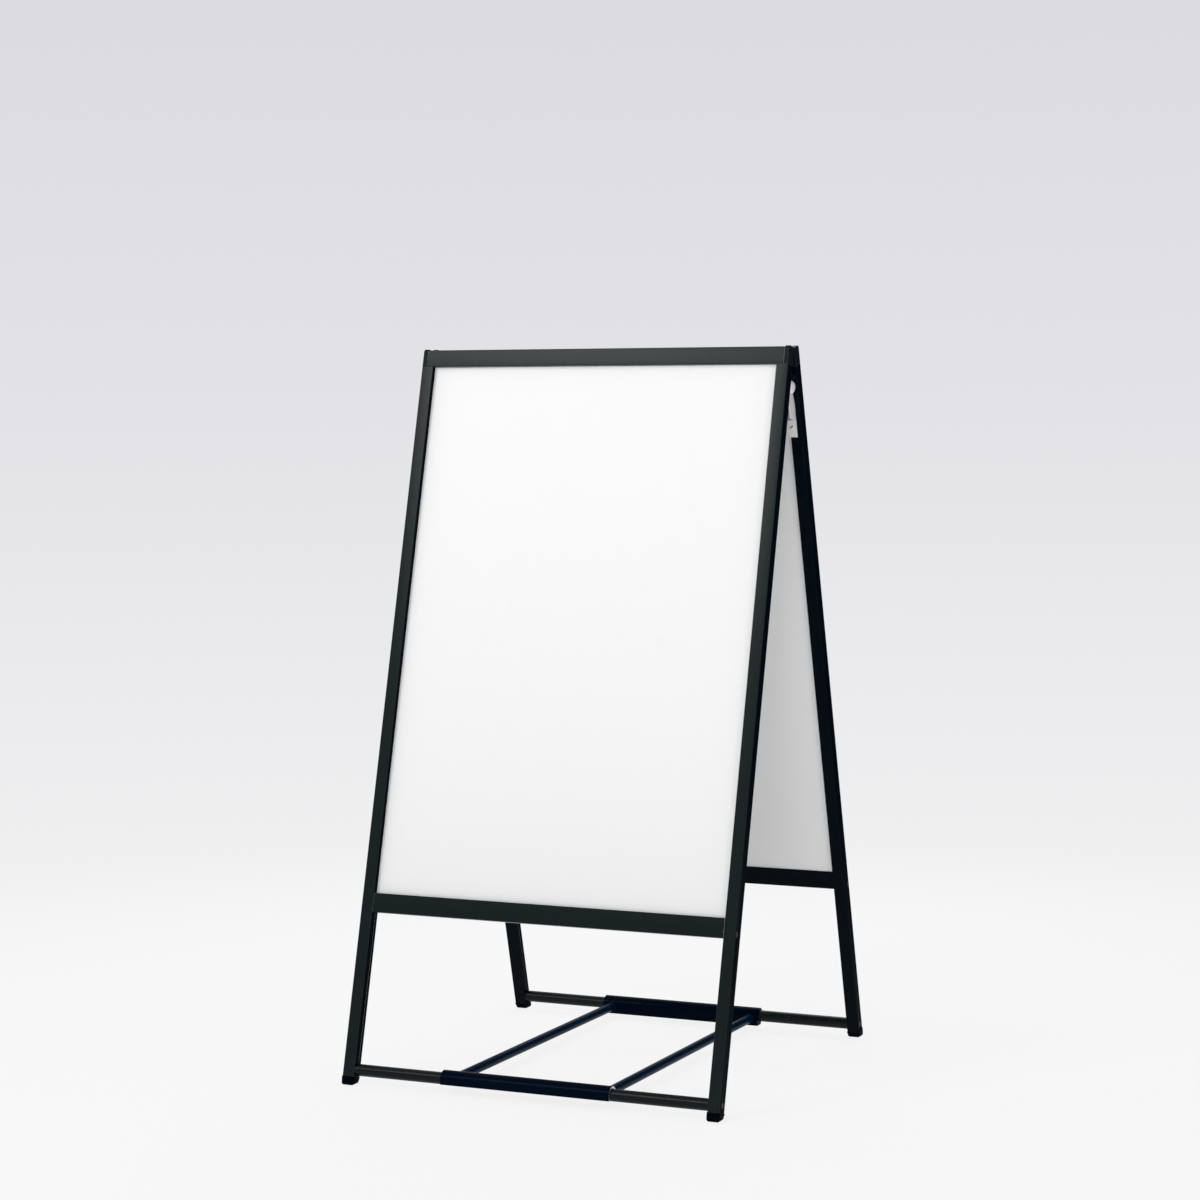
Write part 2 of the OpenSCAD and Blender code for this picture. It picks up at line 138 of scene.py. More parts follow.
@dataclass(frozen=True)
class SignSizes:
    """Sizes that several sub-assemblies share, in metres and degrees.

    Attributes:
        frame_w: overall width of a leaf.
        leg_len: length of a leg along its slope.
        lean: lean of each leaf from the vertical.
        top_gap: gap between the leaves along their top edges.
        stile_w: width of a stile.
        stile_d: depth of a stile.
        wall: wall of the hollow profiles.
        groove_depth: depth of the panel's groove.
        spigot_play: play of a spigot in its profile.
        foot_h: height of a foot cap below its stile.
        tube_r: outer radius of a bottom tube.
        tube_wall: wall of a bottom tube.
        tube_rise: height of a bottom tube's axis.
        hinge_drop: drop of the hinge axis below the top edges.
    """

    frame_w: float = 0.640
    leg_len: float = 1.194
    lean: float = LEAN
    top_gap: float = 0.0013
    stile_w: float = 0.020
    stile_d: float = 0.020
    wall: float = 0.0015
    groove_depth: float = 0.005
    spigot_play: float = 0.0002
    foot_h: float = 0.012
    tube_r: float = 0.0095
    tube_wall: float = 0.0012
    tube_rise: float = 0.0222
    hinge_drop: float = 0.064

    @property
    def lean_sin(self) -> float:
        """Sine of the lean."""
        return math.sin(math.radians(self.lean))

    @property
    def lean_cos(self) -> float:
        """Cosine of the lean."""
        return math.cos(math.radians(self.lean))

    @property
    def inner_x(self) -> float:
        """X of a stile's inner side."""
        return self.frame_w / 2 - self.stile_w

    @property
    def top_y(self) -> float:
        """Distance of a leaf's face from the middle plane at its top edge."""
        return self.stile_d * self.lean_cos + self.top_gap / 2

    @property
    def top_z(self) -> float:
        """Height of a leaf's face at its top edge."""
        return self.leg_len * self.lean_cos + self.stile_d / 2 * self.lean_sin

    @property
    def tube_y(self) -> float:
        """Distance of a bottom tube's axis from the middle plane."""
        slope = (self.top_z - self.tube_rise - self.stile_d / 2 * self.lean_sin) / self.lean_cos
        return self.top_y + slope * self.lean_sin - self.stile_d / 2 * self.lean_cos

    @property
    def hinge_z(self) -> float:
        """Height of the hinge axis."""
        return self.top_z - self.hinge_drop

    def floor_y(self, depth: float) -> float:
        """Y of the floor point at a depth behind the front leaf's face."""
        slope = (self.top_z - depth * self.lean_sin) / self.lean_cos
        return -self.top_y - slope * self.lean_sin + depth * self.lean_cos

    def on_leaf(self, x: Array, depth: Array, slope: Array) -> Array:
        """Points of the front leaf from its own coordinates.

        Args:
            x: places along the width.
            depth: depths behind the leaf's face.
            slope: distances from the top edge down the slope.

        Returns:
            An array of points, one row each.
        """
        y = -self.top_y - slope * self.lean_sin + depth * self.lean_cos
        z = self.top_z - slope * self.lean_cos - depth * self.lean_sin
        return np.stack(np.broadcast_arrays(x, y, z), axis=-1)


SIZES = SignSizes()


# Surfaces


@dataclass
class Shell:
    """One closed surface: its points, and its faces as lists of point numbers.

    Attributes:
        points: array of N points.
        faces: faces of three or more corners.
        slots: number of the material of each face, empty where all have the first.
    """

    points: Array
    faces: list[list[int]]
    slots: list[int] = field(default_factory=list)

    def volume(self) -> float:
        """Signed volume: the sum over fans of each face of a tetrahedron with the shell's middle.

        Returns:
            The volume, below zero where the faces point inwards.
        """
        first = [f[0] for f in self.faces for _ in f[2:]]
        second = [c for f in self.faces for c in f[1:-1]]
        third = [c for f in self.faces for c in f[2:]]
        p = self.points - self.points.mean(axis=0)
        return float(np.einsum("ij,ij->i", p[first], np.cross(p[second], p[third])).sum() / 6)

    def outward(self) -> "Shell":
        """The same shell with its faces turned outwards.

        Returns:
            The shell itself.
        """
        if self.volume() < 0:
            self.faces = [f[::-1] for f in self.faces]
        return self


def full_turn(count: int) -> Array:
    """Evenly spaced angles of a full turn, the first of them zero."""
    return np.linspace(0.0, 2 * math.pi, count, endpoint=False)


def circle(angle: Array) -> Array:
    """Points (cos a, sin a) of the unit circle."""
    return np.stack([np.cos(angle), np.sin(angle)], axis=-1)


def ring_faces(rings: int, around: int, wrap: bool) -> list[list[int]]:
    """Four-cornered faces between neighbouring rings of points, each ring closed on itself.

    Args:
        rings: number of rings.
        around: number of points in each.
        wrap: whether the last ring joins the first.

    Returns:
        Faces as lists of point numbers, ring by ring.
    """
    i = np.arange(rings if wrap else rings - 1)[:, None]
    j = np.arange(around)[None, :]
    i2, j2 = (i + 1) % rings, (j + 1) % around
    corners = [i * around + j, i * around + j2, i2 * around + j2, i2 * around + j]
    return np.stack(np.broadcast_arrays(*corners), axis=-1).reshape(-1, 4).tolist()


def end_caps(rings: int, around: int) -> list[list[int]]:
    """Flat faces on the first and the last ring."""
    return [list(range(around))[::-1], list(range((rings - 1) * around, rings * around))]


def lofted(rings: Array) -> Shell:
    """Closed skin through rings of equal count, with a flat cap on the first and the last.

    The surface is P(i, j) = rings[i][j], straight between neighbours in both directions.

    Args:
        rings: array of K rings of N points.

    Returns:
        The closed shell.
    """
    count, around = rings.shape[:2]
    faces = ring_faces(count, around, False) + end_caps(count, around)
    return Shell(rings.reshape(-1, 3), faces).outward()


def rounded_rectangle(width: float, depth: float, radius: float, per_corner: int = 8) -> Array:
    """Outline of a rectangle about the origin with round corners.

    Each corner is a quarter circle: its centre plus radius times (cos a, sin a), a over ninety degrees.

    Args:
        width: size along the first axis.
        depth: size along the second axis.
        radius: radius of the corners.
        per_corner: points in each corner.

    Returns:
        An array of 4 * per_corner points in the plane.
    """
    quarter = np.linspace(0.0, math.pi / 2, per_corner)
    angle = (quarter[None, :] + np.arange(4)[:, None] * math.pi / 2).ravel()
    signs = np.repeat(np.array([[1, 1], [-1, 1], [-1, -1], [1, -1]], float), per_corner, axis=0)
    centres = signs * (np.array([width, depth]) / 2 - radius)
    return centres + radius * circle(angle)


def revolved(stations: Array, radii: Array, around: int = 64) -> Array:
    """Rings about the X axis: P(i, a) = (x_i, r_i cos a, r_i sin a).

    Args:
        stations: places along X.
        radii: radius at each station.
        around: points in each ring.

    Returns:
        An array of rings.
    """
    ring = circle(full_turn(around))
    x = np.repeat(stations[:, None], around, axis=1)
    return np.stack([x, radii[:, None] * ring[:, 0], radii[:, None] * ring[:, 1]], axis=-1)


def walled(outer: Array, inner: Array, cuts: tuple[float, float], edge: float, closed: bool) -> Shell:
    """Wall of a drawn profile between an outer and an inner line, cut at two places along X.

    Each pair of an outer point and an inner one carries the same section: a rectangle from cut to cut
    across the wall, with its four long corners cut back by the edge. Sections are joined in turn, so the
    wall is a ring of sections where it is closed and a strip with two capped lips where it is open.

    Args:
        outer: points of the outer line in depth and height.
        inner: as many points of the inner line.
        cuts: the two cuts along X.
        edge: size of the broken edge.
        closed: whether the last pair joins the first.

    Returns:
        The closed shell, with material 1 on the cut ends and 0 elsewhere.
    """
    x0, x1 = cuts
    across = inner - outer
    step = edge * across / np.linalg.norm(across, axis=1, keepdims=True)
    lines = [outer, outer, outer + step, inner - step, inner, inner, inner - step, outer + step]
    places = [x0 + edge, x1 - edge, x1, x1, x1 - edge, x0 + edge, x0, x0]
    sections = np.stack([np.insert(line, 0, x, axis=1) for line, x in zip(lines, places)], axis=1)
    count, around = sections.shape[:2]
    faces = ring_faces(count, around, closed)
    slots = [0, 0, 1, 0, 0, 0, 1, 0] * (count if closed else count - 1)
    if not closed:
        faces += end_caps(count, around)
        slots += [0, 0]
    return Shell(sections.reshape(-1, 3), faces, slots).outward()


# Meshes and objects


def new_mesh(name: str, points: Sequence, faces: Sequence, materials: Sequence[Material]) -> bpy.types.Mesh:
    """A mesh with its materials.

    Args:
        name: name of the mesh.
        points: its points, or none where they are filled in later.
        faces: its faces as lists of point numbers.
        materials: materials by slot number.

    Returns:
        The new mesh.
    """
    mesh = bpy.data.meshes.new(name)
    mesh.from_pydata(points, [], faces)
    for material in materials:
        mesh.materials.append(material)
    return mesh


def new_object(name: str, data: bpy.types.ID) -> Object:
    """A new object of the scene that shows the data.

    Args:
        name: name of the object.
        data: its mesh, lamp or camera.

    Returns:
        The new object.
    """
    made = bpy.data.objects.new(name, data)
    bpy.context.scene.collection.objects.link(made)
    return made


def settle(piece: Object, body: str, node: str) -> None:
    """Lets a piece ride on its body and stand for its solid.

    Args:
        piece: the finished piece.
        body: name of the body.
        node: the solid that the piece stands for.
    """
    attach(piece, body)
    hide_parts(node)
    log.info("%s rides on %s for %s, %d faces", piece.name, body, node, len(piece.data.polygons))


# Node trees, and the effects that several finishes share


def open_tree(owner: Material | bpy.types.World) -> bpy.types.NodeTree:
    """The emptied node tree of a material or of the surroundings.

    Args:
        owner: whose tree it is.

    Returns:
        The tree.
    """
    owner.use_nodes = True
    owner.node_tree.nodes.clear()
    return owner.node_tree


def fill(tree: bpy.types.NodeTree, node: Node, values: dict[str, object]) -> None:
    """Sets or links what a node is given by name.

    A name with a capital is an input, underscores standing for spaces, in0, in1 and so on are inputs by
    place, and the others are properties. A socket is linked, a node stands for its first output, and a
    colour gets its alpha.

    Args:
        tree: the node's tree.
        node: the node.
        values: what it is given.
    """
    for key, value in values.items():
        if key.startswith("in") and key[2:].isdigit():
            target = node.inputs[int(key[2:])]
        elif key[0].isupper():
            target = node.inputs[key.replace("_", " ")]
        else:
            setattr(node, key, value)
            continue
        if isinstance(value, Node):
            value = value.outputs[0]
        if isinstance(value, Socket):
            tree.links.new(value, target)
        else:
            target.default_value = (*value, 1.0) if target.type == "RGBA" else value


def add_node(tree: bpy.types.NodeTree, kind: str, **values: object) -> Node:
    """A node with its properties and inputs set or linked by name, as fill() reads them.

    Args:
        tree: the tree that gets the node.
        kind: the node's type without its prefix.
        values: what it is given.

    Returns:
        The new node.
    """
    node = tree.nodes.new(f"ShaderNode{kind}")
    fill(tree, node, values)
    return node


class EffectGroup:
    """A shader node group with named inputs and outputs, built once and placed in many materials."""

    def __init__(self, name: str, values: dict[str, float], masks: Sequence[str]) -> None:
        """Opens the group, whose first input is the vector that it reads.

        Args:
            name: name of the effect.
            values: its plain inputs with their defaults.
            masks: its outputs.
        """
        self.tree = bpy.data.node_groups.new(name, "ShaderNodeTree")
        sockets = self.tree.interface
        sockets.new_socket("Vector", in_out="INPUT", socket_type="NodeSocketVector")
        for key, value in values.items():
            made = sockets.new_socket(key, in_out="INPUT", socket_type="NodeSocketFloat")
            made.default_value = value
        for key in masks:
            sockets.new_socket(key, in_out="OUTPUT", socket_type="NodeSocketFloat")
        self.source = self.tree.nodes.new("NodeGroupInput")
        self.sink = self.tree.nodes.new("NodeGroupOutput")

    def given(self, name: str) -> Socket:
        """What the group is given at an input."""
        return self.source.outputs[name]

    def node(self, kind: str, **values: object) -> Node:
        """A new node of the group."""
        return add_node(self.tree, kind, **values)

    def closed(self, **masks: Node) -> "EffectGroup":
        """The group with its outputs joined."""
        fill(self.tree, self.sink, masks)
        return self


def drawn_grain_group() -> EffectGroup:
    """Fine lines left along a drawn profile, and slow changes of tone between them.

    The lines are noise stretched along the vector's Z axis, the tone is wide soft noise.

    Returns:
        The group, with the outputs Lines and Tone from 0 to 1.
    """
    group = EffectGroup("drawn_grain", {"Pitch": 2500.0, "Stretch": 0.01}, ("Lines", "Tone"))
    vector = group.given("Vector")
    squeeze = group.node("CombineXYZ", X=1.0, Y=1.0, Z=group.given("Stretch"))
    drawn = group.node("VectorMath", operation="MULTIPLY", in0=vector, in1=squeeze)
    lines = group.node("TexNoise", Vector=drawn, Scale=group.given("Pitch"), Detail=2.0, Roughness=0.55)
    tone = group.node("TexNoise", Vector=vector, Scale=9.0, Detail=3.0, Roughness=0.5)
    return group.closed(Lines=lines, Tone=tone)


def speckle_group() -> EffectGroup:
    """Orange-peel relief and fine speckle of a coating or a moulding.

    The relief is wide noise plus a share of fine noise, the speckle is the fine noise alone.

    Returns:
        The group, with the outputs Relief and Speckle from 0 to 1.
    """
    group = EffectGroup("coat_speckle", {"Peel": 900.0, "Fine": 5200.0}, ("Relief", "Speckle"))
    vector = group.given("Vector")
    peel = group.node("TexNoise", Vector=vector, Scale=group.given("Peel"), Detail=2.0, Roughness=0.45)
    fine = group.node("TexNoise", Vector=vector, Scale=group.given("Fine"), Detail=3.0, Roughness=0.6)
    share = group.node("Math", operation="MULTIPLY", in0=fine, in1=0.35)
    relief = group.node("Math", operation="ADD", in0=peel, in1=share)
    return group.closed(Relief=relief, Speckle=fine)


def wear_group() -> EffectGroup:
    """Street wear: dust that gathers low down and in patches, and sparse rubbed marks.

    Dust is one minus the height over its reach, times soft noise. Rubs are the crests of warped noise.

    Returns:
        The group, with the outputs Dust and Rubs from 0 to 1.
    """
    group = EffectGroup("street_wear", {"Reach": 0.5, "Rub scale": 60.0}, ("Dust", "Rubs"))
    vector = group.given("Vector")
    split = group.node("SeparateXYZ", Vector=vector)
    height = group.node("Math", operation="DIVIDE", in0=split.outputs["Z"], in1=group.given("Reach"))
    low = group.node("Math", operation="SUBTRACT", use_clamp=True, in0=1.0, in1=height)
    patches = group.node("TexNoise", Vector=vector, Scale=34.0, Detail=5.0, Roughness=0.62)
    soft = group.node("MapRange", Value=patches, From_Min=0.38, From_Max=0.72)
    dust = group.node("Math", operation="MULTIPLY", use_clamp=True, in0=low, in1=soft)
    crests = group.node("TexNoise", Vector=vector, Scale=group.given("Rub scale"), Detail=4.0,
                        Roughness=0.7, Distortion=0.6)
    rubs = group.node("MapRange", Value=crests, From_Min=0.62, From_Max=0.74)
    return group.closed(Dust=dust, Rubs=rubs)


@dataclass(frozen=True)
class Effects:
    """The shared effects, built once.

    Attributes:
        grain: fine lines and slow tone of a drawn profile.
        speckle: relief and speckle of a skin.
        wear: dust and rubbed marks.
    """

    grain: EffectGroup
    speckle: EffectGroup
    wear: EffectGroup

    @staticmethod
    def build() -> "Effects":
        """Builds all the groups."""
        return Effects(drawn_grain_group(), speckle_group(), wear_group())


# Finishes


class MaterialSketch:
    """A material under construction, with its shader and its Object coordinates."""

    def __init__(self, name: str) -> None:
        """Opens a material with a Principled BSDF.

        Args:
            name: name of the material.
        """
        self.material = bpy.data.materials.new(name)
        self.tree = open_tree(self.material)
        self.shader = add_node(self.tree, "BsdfPrincipled")
        add_node(self.tree, "OutputMaterial", in0=self.shader)
        self.place = add_node(self.tree, "TexCoord").outputs["Object"]

    def aligned(self, grain: Grain) -> Node:
        """Object coordinates turned so that Z runs along the grain."""
        return add_node(self.tree, "Mapping", in0=self.place, Rotation=grain.turns)

    def effect(self, group: EffectGroup, grain: Grain | None = None,
               **values: float) -> bpy.types.bpy_prop_collection:
        """Places a shared effect.

        Args:
            group: the effect.
            grain: direction that its vector follows, or none for plain Object coordinates.
            values: values of its inputs, underscores standing for spaces.

        Returns:
            The effect's outputs by name.
        """
        place = self.place if grain is None else self.aligned(grain)
        return add_node(self.tree, "Group", node_tree=group.tree, Vector=place, **values).outputs

    def between(self, mask: Socket, low: float, high: float) -> Node:
        """A value that goes from low to high as the mask goes from 0 to 1."""
        return add_node(self.tree, "MapRange", Value=mask, To_Min=low, To_Max=high)

    def total(self, first: Node, second: Node) -> Node:
        """The sum of two values, held between 0 and 1."""
        return add_node(self.tree, "Math", operation="ADD", use_clamp=True, in0=first, in1=second)

    def mix(self, mask: Socket | Node, low: Colour | Socket, high: Colour) -> Socket:
        """A colour that goes from low to high as the mask goes from 0 to 1.

        Args:
            mask: the mask.
            low: colour at 0, written or taken from a socket.
            high: colour at 1.

        Returns:
            The colour. Inputs 6 and 7 and output 2 of a Mix node are its colours.
        """
        node = add_node(self.tree, "Mix", data_type="RGBA", in0=mask, in6=low, in7=high)
        return node.outputs[2]

    def relief(self, height: Socket, distance: float, below: Node | None = None) -> Node:
        """A bumped normal.

        Args:
            height: height from 0 to 1.
            distance: height in metres at 1.
            below: normal of a coarser relief under this one.

        Returns:
            The node with the normal.
        """
        under = {} if below is None else {"Normal": below}
        return add_node(self.tree, "Bump", Strength=1.0, Distance=distance, Height=height, **under)

    def closed(self, **values: object) -> Material:
        """The finished material, with the shader's own inputs set or linked by name.

        Args:
            values: what the shader is given, underscores standing for spaces.

        Returns:
            The material.
        """
        fill(self.tree, self.shader, values)
        return self.material


def times(colour: Colour, factor: float) -> Colour:
    """A lighter or darker colour."""
    return tuple(c * factor for c in colour)


@dataclass(frozen=True)
class CoatedMetal:
    """Satin coating over a drawn metal profile.

    Attributes:
        name: name of the material.
        colour: colour of the coating.
        faded: colour where the coating is chalky or dusty.
        grain: direction in which the profile was drawn.
        roughness: roughness of the coating.
        sheen_level: strength of its plain reflection.
        rub: brightening of its rubbed marks.
        rub_gain: how much of the marks shows, as a multiple of their brightening.
        lighter: factor of the lightest tone along the profile.
        dusting: share of the dust's colour where it lies.
        dulling: roughness that the dust adds.
        swing: change of roughness from line to line.
        peel_h: height of the coating's orange peel.
        line_h: height of the drawn lines.
    """

    name: str
    colour: Colour
    faded: Colour
    grain: Grain
    roughness: float = 0.29
    sheen_level: float = 0.135
    rub: float = 0.006
    rub_gain: float = 20.0
    lighter: float = 1.35
    dusting: float = 0.25
    dulling: float = 0.07
    swing: float = 0.03
    peel_h: float = 0.006 * MM
    line_h: float = 0.004 * MM

    def build(self, effects: Effects) -> Material:
        """Builds the material.

        Args:
            effects: the shared effects.

        Returns:
            The material.
        """
        sketch = MaterialSketch(self.name)
        lines = sketch.effect(effects.grain, self.grain, Pitch=1500.0, Stretch=0.012)
        peel = sketch.effect(effects.speckle, Peel=1100.0, Fine=6500.0)
        wear = sketch.effect(effects.wear, Reach=0.35, Rub_scale=85.0)
        tone = sketch.mix(lines["Tone"], self.colour, times(self.colour, self.lighter))
        dusted = sketch.mix(sketch.between(wear["Dust"], 0.0, self.dusting), tone, self.faded)
        rubbed = sketch.between(wear["Rubs"], 0.0, self.rub * self.rub_gain)
        bright = tuple(c + self.rub for c in self.faded)
        soft = sketch.between(lines["Lines"], self.roughness - self.swing, self.roughness + self.swing)
        dull = sketch.between(wear["Dust"], 0.0, self.dulling)
        coarse = sketch.relief(peel["Relief"], self.peel_h)
        return sketch.closed(Base_Color=sketch.mix(rubbed, dusted, bright),
                             Roughness=sketch.total(soft, dull),
                             Normal=sketch.relief(lines["Lines"], self.line_h, coarse),
                             Specular_IOR_Level=self.sheen_level)


class Mask(Enum):
    """What a surface's colour or gloss follows: a shared effect and one of its outputs."""

    DUST = ("wear", "Dust")
    RUBS = ("wear", "Rubs")
    SPECKLE = ("speckle", "Speckle")
    LINES = ("grain", "Lines")


@dataclass(frozen=True)
class Surface:
    """A kind of surface, whatever its colours.

    Attributes:
        speckle: scales of its relief and of its fine speckle.
        relief_h: height of its relief.
        rub_scale: scale of its rubbed marks.
        mask: what brings in the second colour.
        share: how much of that colour shows at most, or none for the mask as it is.
        gloss: what changes its roughness.
        swing: change of roughness at that mask's 0 and 1.
        lighter: factor of the colour in its lightest speckle, or none for an even colour.
        pitch: scale of its rolling lines.
        stretch: how far they are drawn out, 0 being endless.
    """

    speckle: tuple[float, float]
    relief_h: float
    rub_scale: float
    mask: Mask
    share: float | None
    gloss: Mask
    swing: tuple[float, float]
    lighter: float | None = None
    pitch: float = 2200.0
    stretch: float = 0.02


CUT_METAL = Surface(speckle=(2400.0, 9000.0), relief_h=0.02 * MM, rub_scale=300.0, mask=Mask.RUBS,
                    share=None, gloss=Mask.SPECKLE, swing=(-0.1, 0.12))
MOULDED = Surface(speckle=(3200.0, 9500.0), relief_h=0.025 * MM, rub_scale=160.0, mask=Mask.DUST,
                  share=0.6, gloss=Mask.RUBS, swing=(0.0, -0.08), lighter=1.3)
PANEL_BOARD = Surface(speckle=(700.0, 4200.0), relief_h=0.012 * MM, rub_scale=24.0, mask=Mask.RUBS,
                      share=0.35, gloss=Mask.SPECKLE, swing=(-0.05, 0.05))
PLATED = Surface(speckle=(420.0, 3800.0), relief_h=0.02 * MM, rub_scale=140.0, mask=Mask.DUST,
                 share=0.5, gloss=Mask.LINES, swing=(-0.06, 0.08))


@dataclass(frozen=True)
class PlainFinish:
    """Cut metal, moulded plastic, coated board or plated steel.

    Attributes:
        name: name of the material.
        surface: its kind of surface.
        colour: its main colour.
        second: colour of its dust, marks or dull patches.
        roughness: roughness of its skin.
        reach: height up to which its dust shows.
        shine: strength of its plain reflection or share of bare metal, by the shader's name for it.
    """

    name: str
    surface: Surface
    colour: Colour
    second: Colour
    roughness: float
    reach: float
    shine: dict[str, float]

    def build(self, effects: Effects) -> Material:
        """Builds the material.

        Args:
            effects: the shared effects.

        Returns:
            The material.
        """
        sketch, kind = MaterialSketch(self.name), self.surface
        peel, fine = kind.speckle
        placed = {"speckle": sketch.effect(effects.speckle, Peel=peel, Fine=fine),
                  "wear": sketch.effect(effects.wear, Reach=self.reach, Rub_scale=kind.rub_scale)}
        if kind.gloss is Mask.LINES:
            placed["grain"] = sketch.effect(effects.grain, Grain.REAR_SLOPE, Pitch=kind.pitch,
                                            Stretch=kind.stretch)
        masks = {mask: placed[mask.value[0]][mask.value[1]] for mask in (kind.mask, kind.gloss)}
        low, high = (self.roughness + swing for swing in kind.swing)
        tone, share = self.colour, masks[kind.mask]
        if kind.lighter is not None:
            tone = sketch.mix(placed["speckle"]["Speckle"], tone, times(tone, kind.lighter))
        if kind.share is not None:
            share = sketch.between(share, 0.0, kind.share)
        return sketch.closed(Base_Color=sketch.mix(share, tone, self.second),
                             Roughness=sketch.between(masks[kind.gloss], low, high),
                             Normal=sketch.relief(placed["speckle"]["Relief"], kind.relief_h), **self.shine)


BLACK = (0.0014, 0.006, 0.006)
# The blue-black, the dimmer dust and the weaker rear sheen below are painted shade: they make the rear leaf
# a darker, bluer copy of the front leaf's coating. The blue-black also darkens the stiles' sides, and the
# dimmer dust is also plain dust on the tubes.
SHADED_BLUE_BLACK = (0.0009, 0.0030, 0.0058)
DUST = (0.022, 0.024, 0.025)
DIM_DUST = (0.009, 0.011, 0.013)
SHADED_REAR_SHEEN = 0.035


def grey(level: float) -> Colour:
    """A neutral colour."""
    return (level, level, level)


def moulded(name: str, colour: Colour, dust: Colour, *, sheen_level: float, roughness: float = 0.45,
            reach: float = 0.05) -> PlainFinish:
    """A moulded plastic, with the strength of its plain reflection and the height that its dust reaches."""
    return PlainFinish(name, MOULDED, colour, dust, roughness, reach, {"Specular_IOR_Level": sheen_level})


def plated(name: str, colour: Colour, dull: Colour, roughness: float) -> PlainFinish:
    """A plated steel, chalky and with dull patches all the way up."""
    return PlainFinish(name, PLATED, colour, dull, roughness, reach=4.0, shine={"Metallic": 0.3})


def cut_metal(name: str, colour: Colour, roughness: float) -> PlainFinish:
    """Bare metal where a coated profile was cut or rubbed through, with dark marks; on the broken edges of
    the rails and stiles it is also a painted highlight.
    """
    dark = times(colour, 0.45)
    return PlainFinish(name, CUT_METAL, colour, dark, roughness, reach=0.2, shine={"Metallic": 1.0})


FINISHES = (
    CoatedMetal("profile_black_front", BLACK, DUST, Grain.FRONT_SLOPE),
    # The rear leaf's profiles: a darker, bluer, less glossy copy of the front coating, painted shade.
    CoatedMetal("profile_black_rear", SHADED_BLUE_BLACK, DIM_DUST, Grain.REAR_SLOPE, sheen_level=SHADED_REAR_SHEEN),
    CoatedMetal("rail_black_front", BLACK, DUST, Grain.ACROSS),
    # The rear rails: the same painted shade.
    CoatedMetal("rail_black_rear", SHADED_BLUE_BLACK, DIM_DUST, Grain.ACROSS, sheen_level=SHADED_REAR_SHEEN),
    CoatedMetal("tube_black", (0.001, 0.0034, 0.0045), DIM_DUST, Grain.ACROSS,
                roughness=0.27, sheen_level=0.14),
    # The stiles' sides: a bluer, darker black with almost no reflection, painted shade on faces turned from
    # the light.
    CoatedMetal("shaded_side_black", SHADED_BLUE_BLACK, DIM_DUST, Grain.FRONT_SLOPE, roughness=0.4, sheen_level=0.004),
    CoatedMetal("screw_black", grey(0.009), grey(0.03), Grain.DEPTH, roughness=0.4),
    CoatedMetal("stay_black", (0.0004, 0.0030, 0.0100), (0.001, 0.005, 0.012), Grain.ACROSS,
                roughness=0.2, sheen_level=0.016, rub=0.002),
    CoatedMetal("rod_black", (0.0012, 0.0115, 0.0285), (0.004, 0.014, 0.03), Grain.DEPTH,
                roughness=0.24, sheen_level=0.025, rub=0.003),
    # Painted shade in the hinge screws' slots.
    CoatedMetal("slot_dirt", grey(0.006), DIM_DUST, Grain.DEPTH, roughness=0.6, sheen_level=0.05),
    moulded("corner_black", (0.0045, 0.0075, 0.008), DUST, sheen_level=0.09, reach=0.1),
    moulded("foot_black", (0.0008, 0.0018, 0.0042), (0.006, 0.0075, 0.0095), sheen_level=0.008,
            roughness=0.5, reach=0.012),
    moulded("plug_black", grey(0.012), DUST, sheen_level=0.15),
    PlainFinish("panel_white", PANEL_BOARD, (0.935, 0.93, 0.925), (0.885, 0.88, 0.87), roughness=0.57,
                reach=0.6, shine={"Specular_IOR_Level": 0.2}),
    plated("hinge_steel", (0.90, 0.885, 0.88), (0.80, 0.765, 0.76), roughness=0.4),
    plated("pin_steel", (0.88, 0.88, 0.885), (0.74, 0.74, 0.75), roughness=0.28),
    cut_metal("cut_metal", (0.62, 0.62, 0.63), roughness=0.42),
    # The broken edges of the rails and the stiles: worn bare metal that is also a painted highlight, a
    # lighter line along every edge.
    cut_metal("worn_highlight_edge", (0.32, 0.33, 0.33), roughness=0.5),
    cut_metal("dim_worn_highlight_edge", (0.12, 0.125, 0.13), roughness=0.5),
)


# The sign's sub-assemblies


